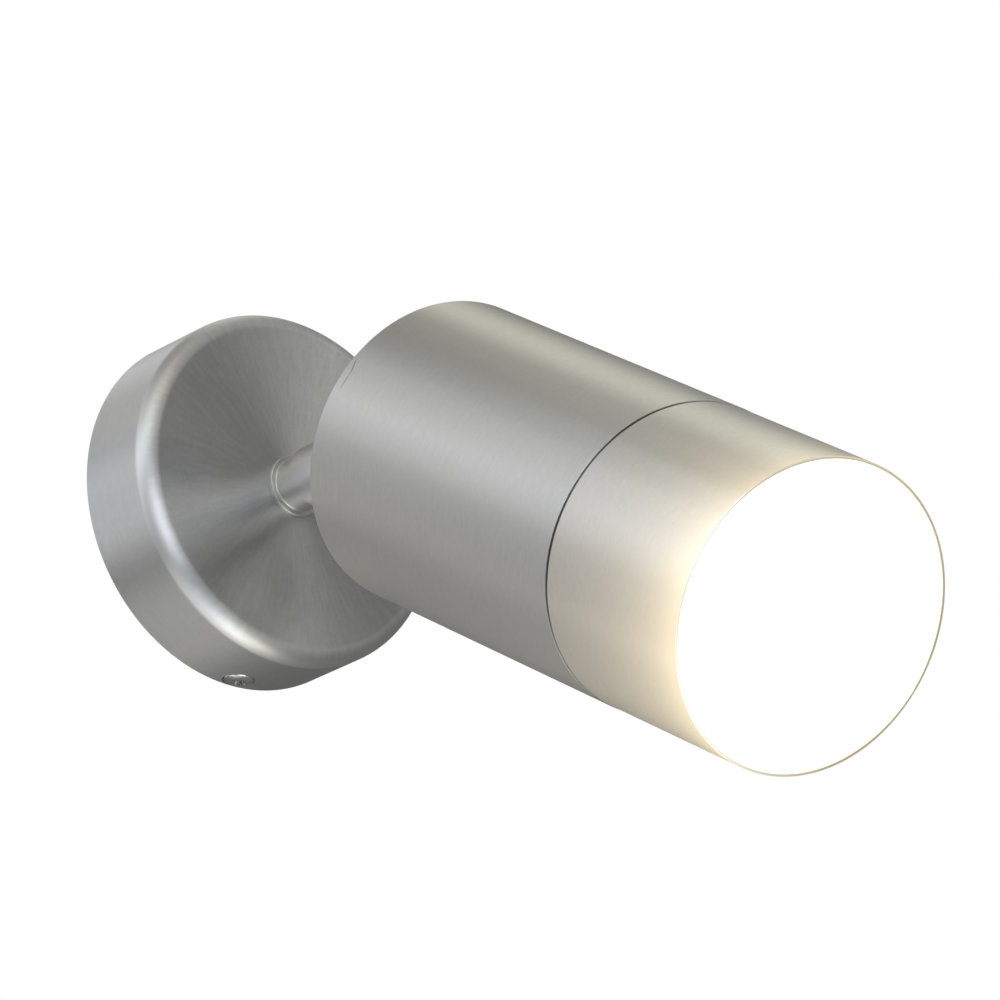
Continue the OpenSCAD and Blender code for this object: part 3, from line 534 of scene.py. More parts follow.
def ring_steel(name):
    """The front ring's brushed steel, with the warm light of the lit glass spilling over it from the rim."""
    glow = bpy.context.scene.light_finish.glow
    material = brushed_steel(name, HEAD_AXIS, PIVOT)
    tree, surface, grain = steel_parts(material)
    # Painted shade darkens the ring at the seam
    paint_seam_shade(tree, surface, grain, TUBE_FRONT - 1 * MM, TUBE_FRONT + SEAM_WIDTH + SEAM_EDGE)
    from_rim = maths(tree, "MAXIMUM", maths(tree, "SUBTRACT", HEAD_FRONT, grain.outputs["Along"]), 0.0)

    def lit_from(angle):
        """How much a spot on the ring faces an angle round the head: 0 to 1."""
        towards = HEAD_UP * cos(angle) + SIDEWAYS * sin(angle)
        facing = vectors(tree, "DOT_PRODUCT", grain.outputs["Outward"], towards)
        return ranged(tree, facing, -1, 1)

    def fading(reach):
        """A light that fades from the rim over a reach."""
        return maths(tree, "EXPONENT", times(tree, maths(tree, "DIVIDE", from_rim, reach), -1.0))

    far_light = fading(ranged(tree, lit_from(FAR_SIDE), 0, 1, 15 * MM, 36 * MM))
    light = maths(tree, "ADD", times(tree, far_light, 0.65), times(tree, fading(8 * MM), 0.5))
    share = ranged(tree, maths(tree, "POWER", lit_from(BRIGHT_SIDE), 1.6), 0, 1, 0.06, 1)
    halo = mixed(tree, times(tree, light, share), BLACK, opaque(glow))
    # The rim's front edge is lit straight by the glass that it holds
    on_rim = ranged(tree, from_rim, 0.05 * MM, 0.16 * MM, 1, 0)
    lit_rim = mixed(tree, ranged(tree, share, 0.3, 0.9), opaque(glow, 0.45), LIT_RIM)
    fill(tree, surface, Emission_Color=mixed(tree, on_rim, halo, lit_rim), Emission_Strength=1)
    return material


def lit_glass(name):
    """Frosted front glass with the lamp behind it, warmer towards its rim."""
    finish = bpy.context.scene.light_finish
    material = new_material(name)
    tree, surface = shader(material)
    frost = noise(tree, object_place(tree), 900.0, 3.0)
    middle = mixed(tree, ranged(tree, frost, 0.2, 0.8), opaque(finish.glass, 0.94), opaque(finish.glass))
    radius = grain_node(tree, HEAD_AXIS, PIVOT).outputs["Radius"]
    warm = [finish.glass[0], finish.glass[1] * 0.92, finish.glass[2] * 0.72, 1]
    fill(
        tree, surface, Base_Color=(0.93, 0.92, 0.9, 1), Roughness=0.55,
        Emission_Color=mixed(tree, ranged(tree, radius, GLASS_RADIUS - 2 * MM, GLASS_RADIUS), middle, warm),
        Emission_Strength=finish.glass_strength, Normal=relief(tree, 0.1, 0.05 * MM, frost))
    return material


def plain(name, colour, roughness, metallic=0.0, speckle=0.08, scale=1200.0, bump=0.05):
    """A moulded, cast or machined finish: a colour that varies a little, with a fine uneven surface."""
    material = new_material(name)
    tree, surface = shader(material)
    uneven = noise(tree, object_place(tree), scale, 4.0)
    fill(
        tree, surface, Metallic=metallic,
        Base_Color=mixed(tree, ranged(tree, uneven, 0.3, 0.7), opaque(colour, 1 - speckle), opaque(colour)),
        Roughness=ranged(tree, uneven, 0.3, 0.7, roughness + 0.06, roughness - 0.06),
        Normal=relief(tree, bump, 0.1 * MM, uneven))
    return material


def turned_metal(name, colour, roughness):
    """Bare machined metal with faint marks and a slightly uneven polish."""
    return plain(name, colour, roughness, metallic=1.0, speckle=0.12, scale=2600.0, bump=0.04)


def zinc_plated(name):
    """Bright zinc plating: large dull crystals with a faint bluish and yellowish cast."""
    material = plain(name, (0.62, 0.64, 0.66), 0.34, metallic=1.0, scale=500.0)
    tree, surface = shader(material)
    crystals = add(tree, "TexVoronoi", Vector=object_place(tree), Scale=260.0).outputs["Color"]
    grey = add(tree, "RGBToBW", Color=crystals).outputs[0]
    fill(tree, surface, Base_Color=mixed(tree, grey, (0.56, 0.60, 0.64, 1), (0.70, 0.69, 0.63, 1)))
    return material


def sleeving(name, colour):
    """Braided and varnished sleeving of a heat-resistant lead."""
    material = plain(name, colour, 0.5, speckle=0.25, scale=2500.0, bump=0.2)
    fill(*shader(material), Coat_Weight=0.3, Coat_Roughness=0.3)
    return material


# Pieces


class MakeCanopy(Operator):
    """Adds the round canopy with its two side screw pockets"""
    bl_idname = "tube_light.make_canopy"
    bl_label = "Canopy"

    def execute(self, context):
        sizes = context.scene.light_sizes
        wall, edge, break_r = sizes.sheet, sizes.canopy_edge, sizes.edge_break
        inside, inner_face = CANOPY_RADIUS - wall, CANOPY_DEPTH - wall
        middle = 8 * MM
        canopy = turned("canopy_shell", [
            (CANOPY_RADIUS, 0, break_r), (CANOPY_RADIUS, middle), (CANOPY_RADIUS, CANOPY_DEPTH, edge),
            (HOLE_RADIUS, CANOPY_DEPTH, break_r), (HOLE_RADIUS, inner_face), (inside, inner_face, edge - wall),
            (inside, middle), (inside, 0, break_r),
        ], WALL_PLACE, steps=256)
        seat, head_pocket, shank_hole = SIDE_SCREW_SEAT, 3.25 * MM, 1.8 * MM
        cut(canopy, [
            round_bar("pocket", radius, low, high, place)
            for place in side_screw_places()
            for radius, low, high in (
                (head_pocket, seat, seat + 3 * MM), (shank_hole, seat - 3 * MM, seat + 1 * MM))])
        settle(canopy, "root", "brushed_stainless", "canopy", canopy_steel("canopy_steel"))
        return {"FINISHED"}


def side_screw_places():
    """Places whose local Z points out of the canopy's side along each side screw."""
    low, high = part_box("canopy_screws")
    screw_out = -(low.y + high.y) / 2
    turn = Matrix.Rotation(SIDE_SCREW_TURN, 4, "Z")
    return [
        WALL_PLACE @ turn @ Matrix.Rotation(side, 4, "Z") @ Matrix.Translation((0, 0, screw_out))
        @ Matrix.Rotation(radians(90), 4, "X")
        for side in (0, pi)]


def cross_cutters(width, top, depth, place):
    """Two blades, tapered towards their feet, that press a cross recess into a screw head."""
    half, thick = width / 2, width * 0.125
    blades = []
    for turn in (0, pi / 2):
        blade = block("blade", (-half, -thick, top - depth), (half, thick, top + depth), Matrix())
        bm = bmesh.new()
        bm.from_mesh(blade.data)
        foot = [corner for corner in bm.verts if corner.co.z < top]
        bmesh.ops.scale(bm, vec=(0.45, 0.7, 1), verts=foot)
        bmesh.ops.transform(bm, matrix=place @ Matrix.Rotation(turn, 4, "Z"), verts=bm.verts)
        bm.to_mesh(blade.data)
        bm.free()
        blades.append(blade)
    return blades


def machine_screw(name, head_r, head_h, shank_r, shank_len, pitch, place):
    """A pan head screw with a cross recess and a thread. Its head sits on local z = 0 and its shank points down."""
    root = shank_r - 0.3 * pitch
    tip, lead_in = -shank_len, 0.4 * MM
    screw = turned(name, [
        (0, tip), (root - 0.3 * MM, tip), (root, tip + lead_in), (root, 0), (head_r, 0, 0.12 * MM),
        (head_r, head_h * 0.5, head_h * 0.3), (head_r * 0.62, head_h, head_h * 0.5), (0, head_h),
    ], place, closed=False, steps=64)
    cut(screw, cross_cutters(head_r * 1.35, head_h, head_h * 0.7, place))
    return joined(screw, thread("thread", root, shank_r, pitch, tip + lead_in, -0.5 * pitch, place))


class MakeSideScrews(Operator):
    """Adds the two small screws that hold the canopy on the wall plate"""
    bl_idname = "tube_light.make_side_screws"
    bl_label = "Side screws"

    def execute(self, context):
        head_r, head_h, thread_r, pitch = 3.1 * MM, 1.1 * MM, 1.5 * MM, 0.5 * MM
        shank = SIDE_SCREW_SEAT - least_radius("canopy_screws")
        on_seat = Matrix.Translation((0, 0, SIDE_SCREW_SEAT))
        screws = joined(*(
            machine_screw("side_screws", head_r, head_h, thread_r, shank, pitch, place @ on_seat)
            for place in side_screw_places()))
        settle(
            screws, "root", "steel_screws", "canopy_screws", turned_metal("screw_steel", (0.62, 0.61, 0.60), 0.26))
        return {"FINISHED"}


def least_radius(node):
    """The least distance of a root CAD node's corners from the canopy's axis."""
    return min(Vector((corner.co.x, corner.co.z)).length for corner in frame["nodes"][node].data.vertices)


class MakeStem(Operator):
    """Adds the turned stem with its foot collar, neck and threaded ends"""
    bl_idname = "tube_light.make_stem"
    bl_label = "Stem"

    def execute(self, context):
        break_r = 0.2 * MM
        face = CANOPY_DEPTH
        foot = face - 0.01 * MM
        neck, tail, root, bore = 5.2 * MM, 5 * MM, 4.62 * MM, 3.4 * MM
        collar, shoulder = face + 1 * MM, face + 6.9 * MM
        thread_start = STEM_END - 6 * MM
        stem = turned("stem_turned", [
            (bore, STEM_TAIL), (root, STEM_TAIL, break_r), (root, face - 4 * MM), (tail, face - 3.6 * MM),
            (tail, foot), (STEM_RADIUS, foot, break_r), (STEM_RADIUS, collar, break_r),
            (neck, collar, 0.3 * MM), (neck, shoulder, 0.3 * MM), (STEM_RADIUS, shoulder, break_r),
            (STEM_RADIUS, thread_start, break_r), (root, thread_start), (root, STEM_END, break_r), (bore, STEM_END),
        ], WALL_PLACE, steps=160)
        tail_thread = thread("thread", root, tail, 1 * MM, STEM_TAIL + 0.5 * MM, face - 4.3 * MM, WALL_PLACE, 64)
        # The stop washer is keyed to this flat
        keyway = (-6 * MM, 4.2 * MM, STEM_TAIL - 1 * MM), (6 * MM, 6 * MM, face - 1.7 * MM)
        for piece in (stem, tail_thread):
            cut(piece, [block("keyway", *keyway, WALL_PLACE)])
        joined(
            stem, tail_thread,
            thread("thread", root, tail, 1 * MM, thread_start + 0.6 * MM, STEM_END - 0.6 * MM, WALL_PLACE, 64))
        settle(
            stem, "stem", "brushed_stainless", "stem",
            brushed_steel("stem_steel", WALL_AXIS, (0, 0, 0), roughness=0.46, stretch=0.45))
        return {"FINISHED"}


class MakeKnuckle(Operator):
    """Adds the knuckle's fork and tongue with rounded edges, and its two pivot screws"""
    bl_idname = "tube_light.make_knuckle"
    bl_label = "Knuckle"

    def execute(self, context):
        fork = softened("knuckle_fork_milled", "knuckle_fork", 0.35 * MM)
        settle(fork, "stem", "brushed_stainless", "knuckle_fork", brushed_steel("fork_steel", WALL_AXIS, (0, 0, 0)))
        tongue = softened("knuckle_tongue_milled", "knuckle_tongue", 0.3 * MM)
        settle(
            tongue, "head", "brushed_stainless", "knuckle_tongue", brushed_steel("tongue_steel", HEAD_AXIS, PIVOT))
        screws = joined(*(
            pivot_screw("pivot_cap_screws", Matrix.Translation(PIVOT) @ Matrix.Rotation(side * radians(90), 4, "Y"))
            for side in (1, -1)))
        settle(
            screws, "head", "steel_screws", "pivot_screws",
            turned_metal("pivot_screw_steel", (0.66, 0.65, 0.64), 0.25))
        return {"FINISHED"}


def pivot_screw(name, place):
    """A shoulder screw along local Z, with a thread at its inner end and a socket in its head."""
    root, crest, shank, head = 1.35 * MM, 1.5 * MM, 2.5 * MM, 4 * MM
    tip, shoulder, seat = 2.3 * MM, 4.5 * MM, 8.05 * MM
    top = seat + 2 * MM
    break_r, socket = 0.15 * MM, 1.443 * MM
    screw = turned(name, [
        (0, tip), (root, tip, 0.2 * MM), (root, shoulder), (shank, shoulder, break_r), (shank, seat),
        (head, seat, break_r), (head, seat + 1.1 * MM, 0.4 * MM), (2.6 * MM, top, 0.6 * MM), (0, top),
    ], place, closed=False, steps=96)
    cut(screw, [round_bar("socket", socket, seat + 0.6 * MM, seat + 4 * MM, place, steps=6)])
    return joined(screw, thread("thread", root, crest, 0.5 * MM, 2.5 * MM, 4.3 * MM, place))


class MakeTube(Operator):
    """Adds the tube housing with its stake marks and the rear cap"""
    bl_idname = "tube_light.make_tube"
    bl_label = "Tube and rear cap"

    def execute(self, context):
        sizes = context.scene.light_sizes
        bore, break_r = TUBE_RADIUS - sizes.tube_wall, sizes.edge_break
        tube = turned("tube_housing", [
            (bore, TUBE_BACK, break_r), (TUBE_RADIUS, TUBE_BACK, break_r), (TUBE_RADIUS, TUBE_BACK + 7 * MM),
            (TUBE_RADIUS, TUBE_FRONT, SEAM_EDGE), (bore, TUBE_FRONT, break_r),
        ], HEAD_PLACE, steps=288)
        stake_turns = (160, 280, 40)
        cut(tube, [cutter for turn in stake_turns for cutter in stake_cutters(radians(turn))])
        settle(tube, "head", "brushed_stainless", "tube_body", tube_steel("tube_steel"))
        cap = turned("rear_cap_turned", [
            (HOLE_RADIUS, CAP_BACK, 0.15 * MM), (CAP_RADIUS, CAP_BACK, 0.4 * MM), (CAP_RADIUS, CAP_FRONT),
            (HOLE_RADIUS, CAP_FRONT),
        ], HEAD_PLACE)
        tap_r, tap_x, tap_depth = 1.55 * MM, 15 * MM, 2.3 * MM
        cut(cap, [
            round_bar("tapped", tap_r, CAP_FRONT - tap_depth, CAP_FRONT + 1 * MM,
                      HEAD_PLACE @ Matrix.Translation((side * tap_x, 0, 0)))
            for side in (1, -1)])
        settle(cap, "head", "brushed_stainless", "rear_cap", brushed_steel("rear_cap_steel", HEAD_AXIS, PIVOT))
        return {"FINISHED"}


def stake_cutters(turn):
    """Cutters for one short groove near the tube's rear edge, with one end hooked towards the edge."""
    span, hook_lean = radians(7.5), radians(24)
    depth, half = 0.2 * MM, 0.15 * MM
    level = TUBE_BACK + 2.2 * MM
    low, high = TUBE_RADIUS - depth, TUBE_RADIUS + 1 * MM
    bm = bmesh.new()
    bm.faces.new([bm.verts.new(spot) for spot in (
        (low, 0, level - half), (high, 0, level - half), (high, 0, level + half), (low, 0, level + half))])
    spun(bm, list(bm.verts) + list(bm.edges), span, 8)
    bmesh.ops.holes_fill(bm, edges=bm.edges, sides=4)
    place = HEAD_PLACE @ Matrix.Rotation(turn - span / 2, 4, "Z")
    groove = finished("groove", bm, place)
    hook = block(
        "hook", (low, -3 * MM, -half), (high, 0, half),
        place @ Matrix.Translation((0, 0, level)) @ Matrix.Rotation(hook_lean, 4, "X"))
    return groove, hook


class MakeFrontRing(Operator):
    """Adds the front ring with its thin rim and its threaded spigot"""
    bl_idname = "tube_light.make_front_ring"
    bl_label = "Front ring"

    def execute(self, context):
        sizes = context.scene.light_sizes
        break_r = sizes.edge_break
        spigot = TUBE_RADIUS - sizes.tube_wall - 0.05 * MM
        root, spigot_in = spigot - 0.35 * MM, spigot - 1.4 * MM
        bore, seat = RING_RADIUS - sizes.tube_wall, RING_RADIUS - sizes.rim
        ledge = GLASS_BACK - 1 * MM
        shoulder = TUBE_FRONT + SEAM_WIDTH
        ring = turned("front_ring_turned", [
            (spigot_in, RING_BACK, break_r), (root, RING_BACK, break_r), (root, shoulder - 1.4 * MM),
            (spigot, shoulder - 1.1 * MM), (spigot, shoulder), (RING_RADIUS, shoulder, SEAM_EDGE),
            (RING_RADIUS, HEAD_FRONT, 0.12 * MM), (seat, HEAD_FRONT, 0.08 * MM), (seat, ledge),
            (spigot_in, ledge), (spigot_in, ledge - 2 * MM), (bore, ledge - 2 * MM),
            (bore, shoulder + 2 * MM), (spigot_in, shoulder + 2 * MM),
        ], HEAD_PLACE, steps=288)
        joined(ring, thread(
            "thread", root, spigot, 2 * MM, RING_BACK + 0.3 * MM, shoulder - 1.5 * MM, HEAD_PLACE, 144))
        settle(ring, "ring", "brushed_stainless", "front_ring", ring_steel("front_ring_steel"))
        return {"FINISHED"}


class MakeFrontGlass(Operator):
    """Adds the lit frosted front glass"""
    bl_idname = "tube_light.make_front_glass"
    bl_label = "Front glass"

    def execute(self, context):
        glass = turned("front_glass_disc", [
            (0, GLASS_BACK), (GLASS_RADIUS, GLASS_BACK, 0.3 * MM), (GLASS_RADIUS, HEAD_FRONT, 0.25 * MM),
            (0, HEAD_FRONT),
        ], HEAD_PLACE, closed=False)
        settle(glass, "ring", "frosted_glass", "front_glass", lit_glass("lit_front_glass"))
        return {"FINISHED"}


class MakeNuts(Operator):
    """Adds the two hexagon nuts that hold the stem and the tongue"""
    bl_idname = "tube_light.make_nuts"
    bl_label = "Nuts"

    def execute(self, context):
        brass = turned_metal("nut_brass", (0.74, 0.57, 0.27), 0.28)
        for name, node, body, place, start in (
                ("stem_hex_nut", "stem_nut", "stem", WALL_PLACE, out_from_wall("stem_nut")[0]),
                ("tongue_hex_nut", "tongue_nut", "head", HEAD_PLACE, along_head("tongue_nut")[0])):
            settle(hex_nut(name, start, place), body, "brass", node, brass)
        return {"FINISHED"}


def hex_nut(name, start, place):
    """A 14 mm hexagon nut for the M10 thread, with its corners turned off at both faces."""
    end = start + 3.5 * MM
    flat, corner, face, chamfer = 7 * MM, 8.083 * MM, 7.1 * MM, 0.5 * MM
    nut = turned(name, [
        (HOLE_RADIUS, start, 0.35 * MM), (face, start), (corner, start + chamfer),
        (corner, end - chamfer), (face, end), (HOLE_RADIUS, end, 0.35 * MM),
    ], place, steps=96)
    cut(nut, [
        block("side", (flat, -9 * MM, start - 1 * MM), (12 * MM, 9 * MM, end + 1 * MM),
              place @ Matrix.Rotation(radians(30 + 60 * side), 4, "Z"))
        for side in range(6)])
    return nut


LEAD_COLOURS = (
    ("brown_sleeving", (0.16, 0.06, 0.025)), ("blue_sleeving", (0.02, 0.13, 0.45)),
    ("green_sleeving", (0.05, 0.33, 0.06)), ("yellow_sleeving", (0.80, 0.62, 0.04)))
BROWN, BLUE, GREEN, YELLOW = range(4)


class MakeLeads(Operator):
    """Adds the brown, blue and green-and-yellow leads, from the terminal block to the lampholder"""
    bl_idname = "tube_light.make_leads"
    bl_label = "Leads"

    def execute(self, context):
        colours = [sleeving(name, colour) for name, colour in LEAD_COLOURS]
        # In millimetres: the terminals' height out, then along the stem and the head, where leads meet and bend
        terminal, stem_mouth, in_stem, stem_bend = 6.5, 10.8, 13.8, 47.2
        head_bend, in_head, holder = 7.2, 21.5, 67.9
        terminal_up, bend_up = 15.18, 9.283
        # Each lead's colour and terminal, its height in the stem's bore, and how far it sweeps towards the stem
        leads = ((BROWN, 8, -2.1, 5.4), (BLUE, -8, 0, 4.4), (GREEN, 0, 2.1, 3.4))

        canopy_leads = joined(*(
            lead("canopy_sleeved_leads", colour, at_wall(x, terminal_up, terminal), (
                at_wall(x, bend_up, terminal), at_wall(x, bend_up - sweep, terminal),
                at_wall(0, up, stem_mouth - sweep), at_wall(0, up, stem_mouth)), at_wall(0, up, in_stem))
            for colour, x, up, sweep in leads))
        dress(canopy_leads, *colours)
        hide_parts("canopy_leads")
        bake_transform(canopy_leads)

        knuckle_leads = joined(*(
            lead("knuckle_sleeved_leads", colour, at_wall(0, up, in_stem), (
                at_wall(0, up, stem_bend), at_wall(0, up, 52.096), at_head(0, up, 2.304),
                at_head(0, up, head_bend)), at_head(0, up, in_head))
            for colour, x, up, sweep in leads))
        dress(knuckle_leads, *colours)
        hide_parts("knuckle_leads")
        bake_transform(knuckle_leads)

        head_leads = joined(
            *(lead("head_sleeved_leads", colour, at_head(0, up, in_head), (
                at_head(0, up, 24.5), at_head(0, up, 38.5), at_head(x, 0, 38.7), at_head(x, 0, 52.7)),
                at_head(x, 0, holder))
              for colour, x, up in ((BROWN, -5, -2.1), (BLUE, 5, 0))),
            lead("head_sleeved_leads", GREEN, at_head(0, 2.1, in_head), (
                at_head(0, 2.1, 24.5), at_head(0, 2.1, 33.5), at_head(15, 18, 20.4), at_head(15, 9, 20.4)),
                at_head(15, 6.5, 20.4)))
        settle(head_leads, "head", "lead_sleeving", "head_leads", *colours)

        earth_link = lead("earth_link_lead", GREEN, at_wall(18.5, 15, 3), (
            at_wall(18.5, 17.5, 3), at_wall(18.5, 30, 3), at_wall(0, 37.5, 12.5), at_wall(0, 23.283, terminal)),
            at_wall(0, 19.783, terminal))
        settle(earth_link, "root", "earth_sleeving", "earth_link", *colours)
        return {"FINISHED"}


def at_wall(x, up, out):
    """A spot in millimetres: sideways, up, and out from the wall."""
    return WALL_PLACE @ Vector((x * MM, up * MM, out * MM))


def at_head(x, up, forward):
    """A spot in millimetres: sideways, up across the head, and forward along it from the tilt pivot."""
    return HEAD_PLACE @ Vector((x * MM, up * MM, forward * MM))


def lead(name, colour, before, bend, after, steps=24):
    """A round sleeved lead along a straight, a bend of four handles and a straight."""
    a, b, c, d = bend
    path = [before]
    for step in range(steps + 1):
        t = step / steps
        path.append(a * (1 - t) ** 3 + b * 3 * t * (1 - t) ** 2 + c * 3 * t * t * (1 - t) + d * t ** 3)
    path.append(after)
    curve = bpy.data.curves.new(name, "CURVE")
    curve.dimensions = "3D"
    curve.bevel_depth = LEAD_RADIUS
    curve.bevel_resolution = 4
    curve.use_fill_caps = True
    spline = curve.splines.new("POLY")
    spline.points.add(len(path) - 1)
    for point, spot in zip(spline.points, path):
        point.co = (*spot, 1)
    draft = in_scene(name, curve)
    mesh = bpy.data.meshes.new_from_object(draft.evaluated_get(bpy.context.evaluated_depsgraph_get()))
    bpy.data.objects.remove(draft)
    bpy.data.curves.remove(curve)
    bm = bmesh.new()
    bm.from_mesh(mesh)
    bpy.data.meshes.remove(mesh)
    bmesh.ops.remove_doubles(bm, verts=bm.verts, dist=1e-7)
    for face in bm.faces:
        # The earth lead is green with a yellow stripe along one side
        face.material_index = YELLOW if colour == GREEN and face.normal.x > 0.35 else colour
    return finished(name, bm, Matrix())


class MakeWallFittings(Operator):
    """Adds the wall plate and the terminal block with rounded edges"""
    bl_idname = "tube_light.make_wall_fittings"
    bl_label = "Wall fittings"

    def execute(self, context):
        plate = softened("wall_plate_pressed", "wall_plate", 0.2 * MM)
        settle(plate, "root", "zinc_plated_steel", "wall_plate", zinc_plated("plate_zinc"))
        moulding = softened("terminal_block_moulded", "terminal_block", 0.3 * MM)
        settle(
            moulding, "root", "terminal_plastic", "terminal_block",
            plain("terminal_moulding", (0.86, 0.84, 0.76), 0.35, scale=900.0))
        return {"FINISHED"}


class MakeLamp(Operator):
    """Adds the reflector lamp's shell with its cooling ribs"""
    bl_idname = "tube_light.make_lamp"
    bl_label = "Lamp"

    def execute(self, context):
        back, front = along_head("lamp_body")
        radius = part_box("lamp_body")[1].x
        base, wall = 12.5 * MM, 1.5 * MM
        inside, rim, floor = radius - wall, front - 9 * MM, back + 4 * MM
        shell = turned("lamp_shell_ribbed", [
            (0, back), (base + 1 * MM, back, 0.6 * MM), (base + 2.5 * MM, back + 2 * MM, 1.2 * MM),
            (radius, rim, 2 * MM), (radius, front, 0.5 * MM), (inside, front, 0.3 * MM),
            (inside, rim), (base, floor), (0, floor),
        ], HEAD_PLACE, closed=False, steps=120)
        # The grooves run up the shell's conical wall, from its foot to below its rim
        foot = Vector((base + 2.5 * MM, 0, back + 2 * MM))
        lean = Matrix.Rotation(-atan2(rim - foot.z, radius - foot.x), 4, "Y")
        groove = (4 * MM, -0.6 * MM, -0.5 * MM), (19 * MM, 0.6 * MM, 1 * MM)
        grooves = 24
        cut(shell, [
            block("groove", *groove, HEAD_PLACE @ Matrix.Rotation(2 * pi * number / grooves, 4, "Z")
                  @ Matrix.Translation(foot) @ lean)
            for number in range(grooves)])
        settle(
            shell, "lamp", "lamp_shell", "lamp_body", plain("lamp_shell_coat", (0.85, 0.85, 0.85), 0.35, scale=700.0))
        return {"FINISHED"}


CARRIED_FINISHES = {
    "brushed_stainless": ((0.62, 0.61, 0.59), 0.34, 1),
    "steel_screws": ((0.66, 0.66, 0.65), 0.25, 1),
    "zinc_plated_steel": ((0.60, 0.62, 0.64), 0.35, 1),
    "spring_steel": ((0.28, 0.28, 0.30), 0.4, 1),
    "brass": ((0.72, 0.55, 0.25), 0.3, 1),
    "black_rubber": ((0.05, 0.05, 0.05), 0.7, 0),
    "white_silicone": ((0.85, 0.85, 0.82), 0.5, 0),
    "terminal_plastic": ((0.86, 0.84, 0.76), 0.35, 0),
    "red_fibre": ((0.42, 0.10, 0.06), 0.7, 0),
    "lead_sleeving": ((0.86, 0.82, 0.74), 0.6, 0),
    "earth_sleeving": ((0.35, 0.60, 0.12), 0.45, 0),
    "ceramic": ((0.88, 0.86, 0.81), 0.55, 0),
    "lamp_shell": ((0.85, 0.85, 0.85), 0.35, 0),
    "lamp_board": ((0.90, 0.91, 0.86), 0.5, 0),
    "lamp_diffuser": ((0.96, 0.94, 0.88), 0.4, 0),
    "frosted_glass": ((0.97, 0.96, 0.93), 0.5, 0),
}


class DressCarriedParts(Operator):
    """Gives every CAD part that is carried over its own finish"""
    bl_idname = "tube_light.dress_carried_parts"
    bl_label = "Carried parts"

    def execute(self, context):
        made = {}
        for part in frame["record"]["subparts"]:
            node = frame["nodes"][part["node"]]
            slot = part["material_slot"]
            if slot not in made:
                colour, roughness, metallic = CARRIED_FINISHES[slot]
                made[slot] = plain(slot, colour, roughness, metallic)
            dress(node, made[slot])
        return {"FINISHED"}


# Stage

CAMERA_PLACE = Matrix((
    (0.78407, -0.16405, -0.59859, -0.906387),
    (-0.61867, -0.28385, -0.73258, -1.192376),
    (-0.04973, 0.94473, -0.32405, -0.512525),
    (0, 0, 0, 1)))
# Far soft lamps of the studio: direction and colour
FAR_LAMPS = [
    ((-0.91, 0.08, 0.40), (2.56, 2.68, 2.89)),
    ((-0.87, 0.41, 0.27), (2.16, 2.26, 2.28)),
    ((0.17, 0.76, 0.63), (1.97, 1.97, 2.00)),
    ((0.34, 0.22, 0.91), (1.74, 1.76, 1.49)),
    ((-0.84, 0.54, -0.05), (1.59, 1.62, 1.68)),
    ((-0.59, 0.79, -0.18), (1.01, 1.01, 0.97)),
    ((-0.28, 0.78, 0.55), (0.83, 0.82, 0.81)),
]
# How narrow each far lamp is, and the share of the white background that the steel shows
LAMP_NARROW = 42
WHITE_SHARE = 0.16
# Near soft lamps: direction from the canopy and colour
NEAR_LAMPS = [
    ((-0.50, -0.86, -0.08), (3.76, 3.95, 4.25)),
    ((0.04, -0.33, -0.94), (2.80, 2.78, 2.45)),
    ((-0.24, -0.50, -0.83), (1.32, 1.48, 1.71)),
    ((-0.71, -0.49, 0.50), (1.41, 1.48, 1.45)),
    ((0.38, -0.93, -0.01), (1.28, 1.31, 1.18)),
    ((-0.58, 0.22, -0.79), (1.22, 1.21, 1.15)),
    ((-0.42, -0.60, 0.68), (1.20, 1.16, 1.00)),
    ((-0.19, 0.17, -0.97), (0.95, 0.89, 0.86)),
    ((-0.13, -0.50, 0.86), (0.60, 0.59, 0.51)),
    ((0.24, -0.31, 0.92), (0.30, 0.30, 0.27)),
    ((0.59, -0.50, 0.63), (0.39, 0.39, 0.40)),
    ((-0.60, 0.35, 0.72), (0.39, 0.39, 0.36)),
]
NEAR_CENTRE = Vector((0, -0.02, 0))
NEAR_DISTANCE = 0.34
NEAR_WIDTH = 0.2
FLOOR_RADIUS = 1.1
FLOOR_LIFT = 0.7


class MakeStage(Operator):
    """Adds the floor, the soft studio light and the camera"""
    bl_idname = "tube_light.make_stage"
    bl_label = "Stage"

    def execute(self, context):
        scene = context.scene
        stage = scene.stage_settings
        bm = bmesh.new()
        bmesh.ops.create_circle(bm, cap_ends=True, radius=FLOOR_RADIUS, segments=96)
        floor = finished("floor", bm, Matrix.Translation((0, 0, -stage.floor_drop)))
        dress(floor, pale_floor("pale_floor", stage.floor))

        scene.world = bpy.data.worlds.new("studio")
        scene.world.use_nodes = True
        build_sky(scene.world.node_tree)
        for towards, colour in NEAR_LAMPS:
            add_near_lamp(Vector(towards).normalized(), colour)

        data = bpy.data.cameras.new("camera")
        data.sensor_fit = "HORIZONTAL"
        data.lens = stage.lens
        data.clip_start = 0.01
        data.clip_end = 20
        camera = in_scene("camera", data)
        camera.matrix_world = CAMERA_PLACE
        scene.camera = camera
        scene.view_settings.view_transform = "Standard"
        return {"FINISHED"}


def pale_floor(name, colour):
    """A dull floor that the camera sees paler than it is lit, with the light's shadow still on it."""
    material = plain(name, colour, 0.8, speckle=0.02, scale=40.0, bump=0.0)
    tree, surface = shader(material)
    seen = add(tree, "LightPath").outputs["Is Camera Ray"]
    fill(tree, surface, Emission_Color=mixed(tree, seen, BLACK, opaque(colour, FLOOR_LIFT)), Emission_Strength=1)
    return material


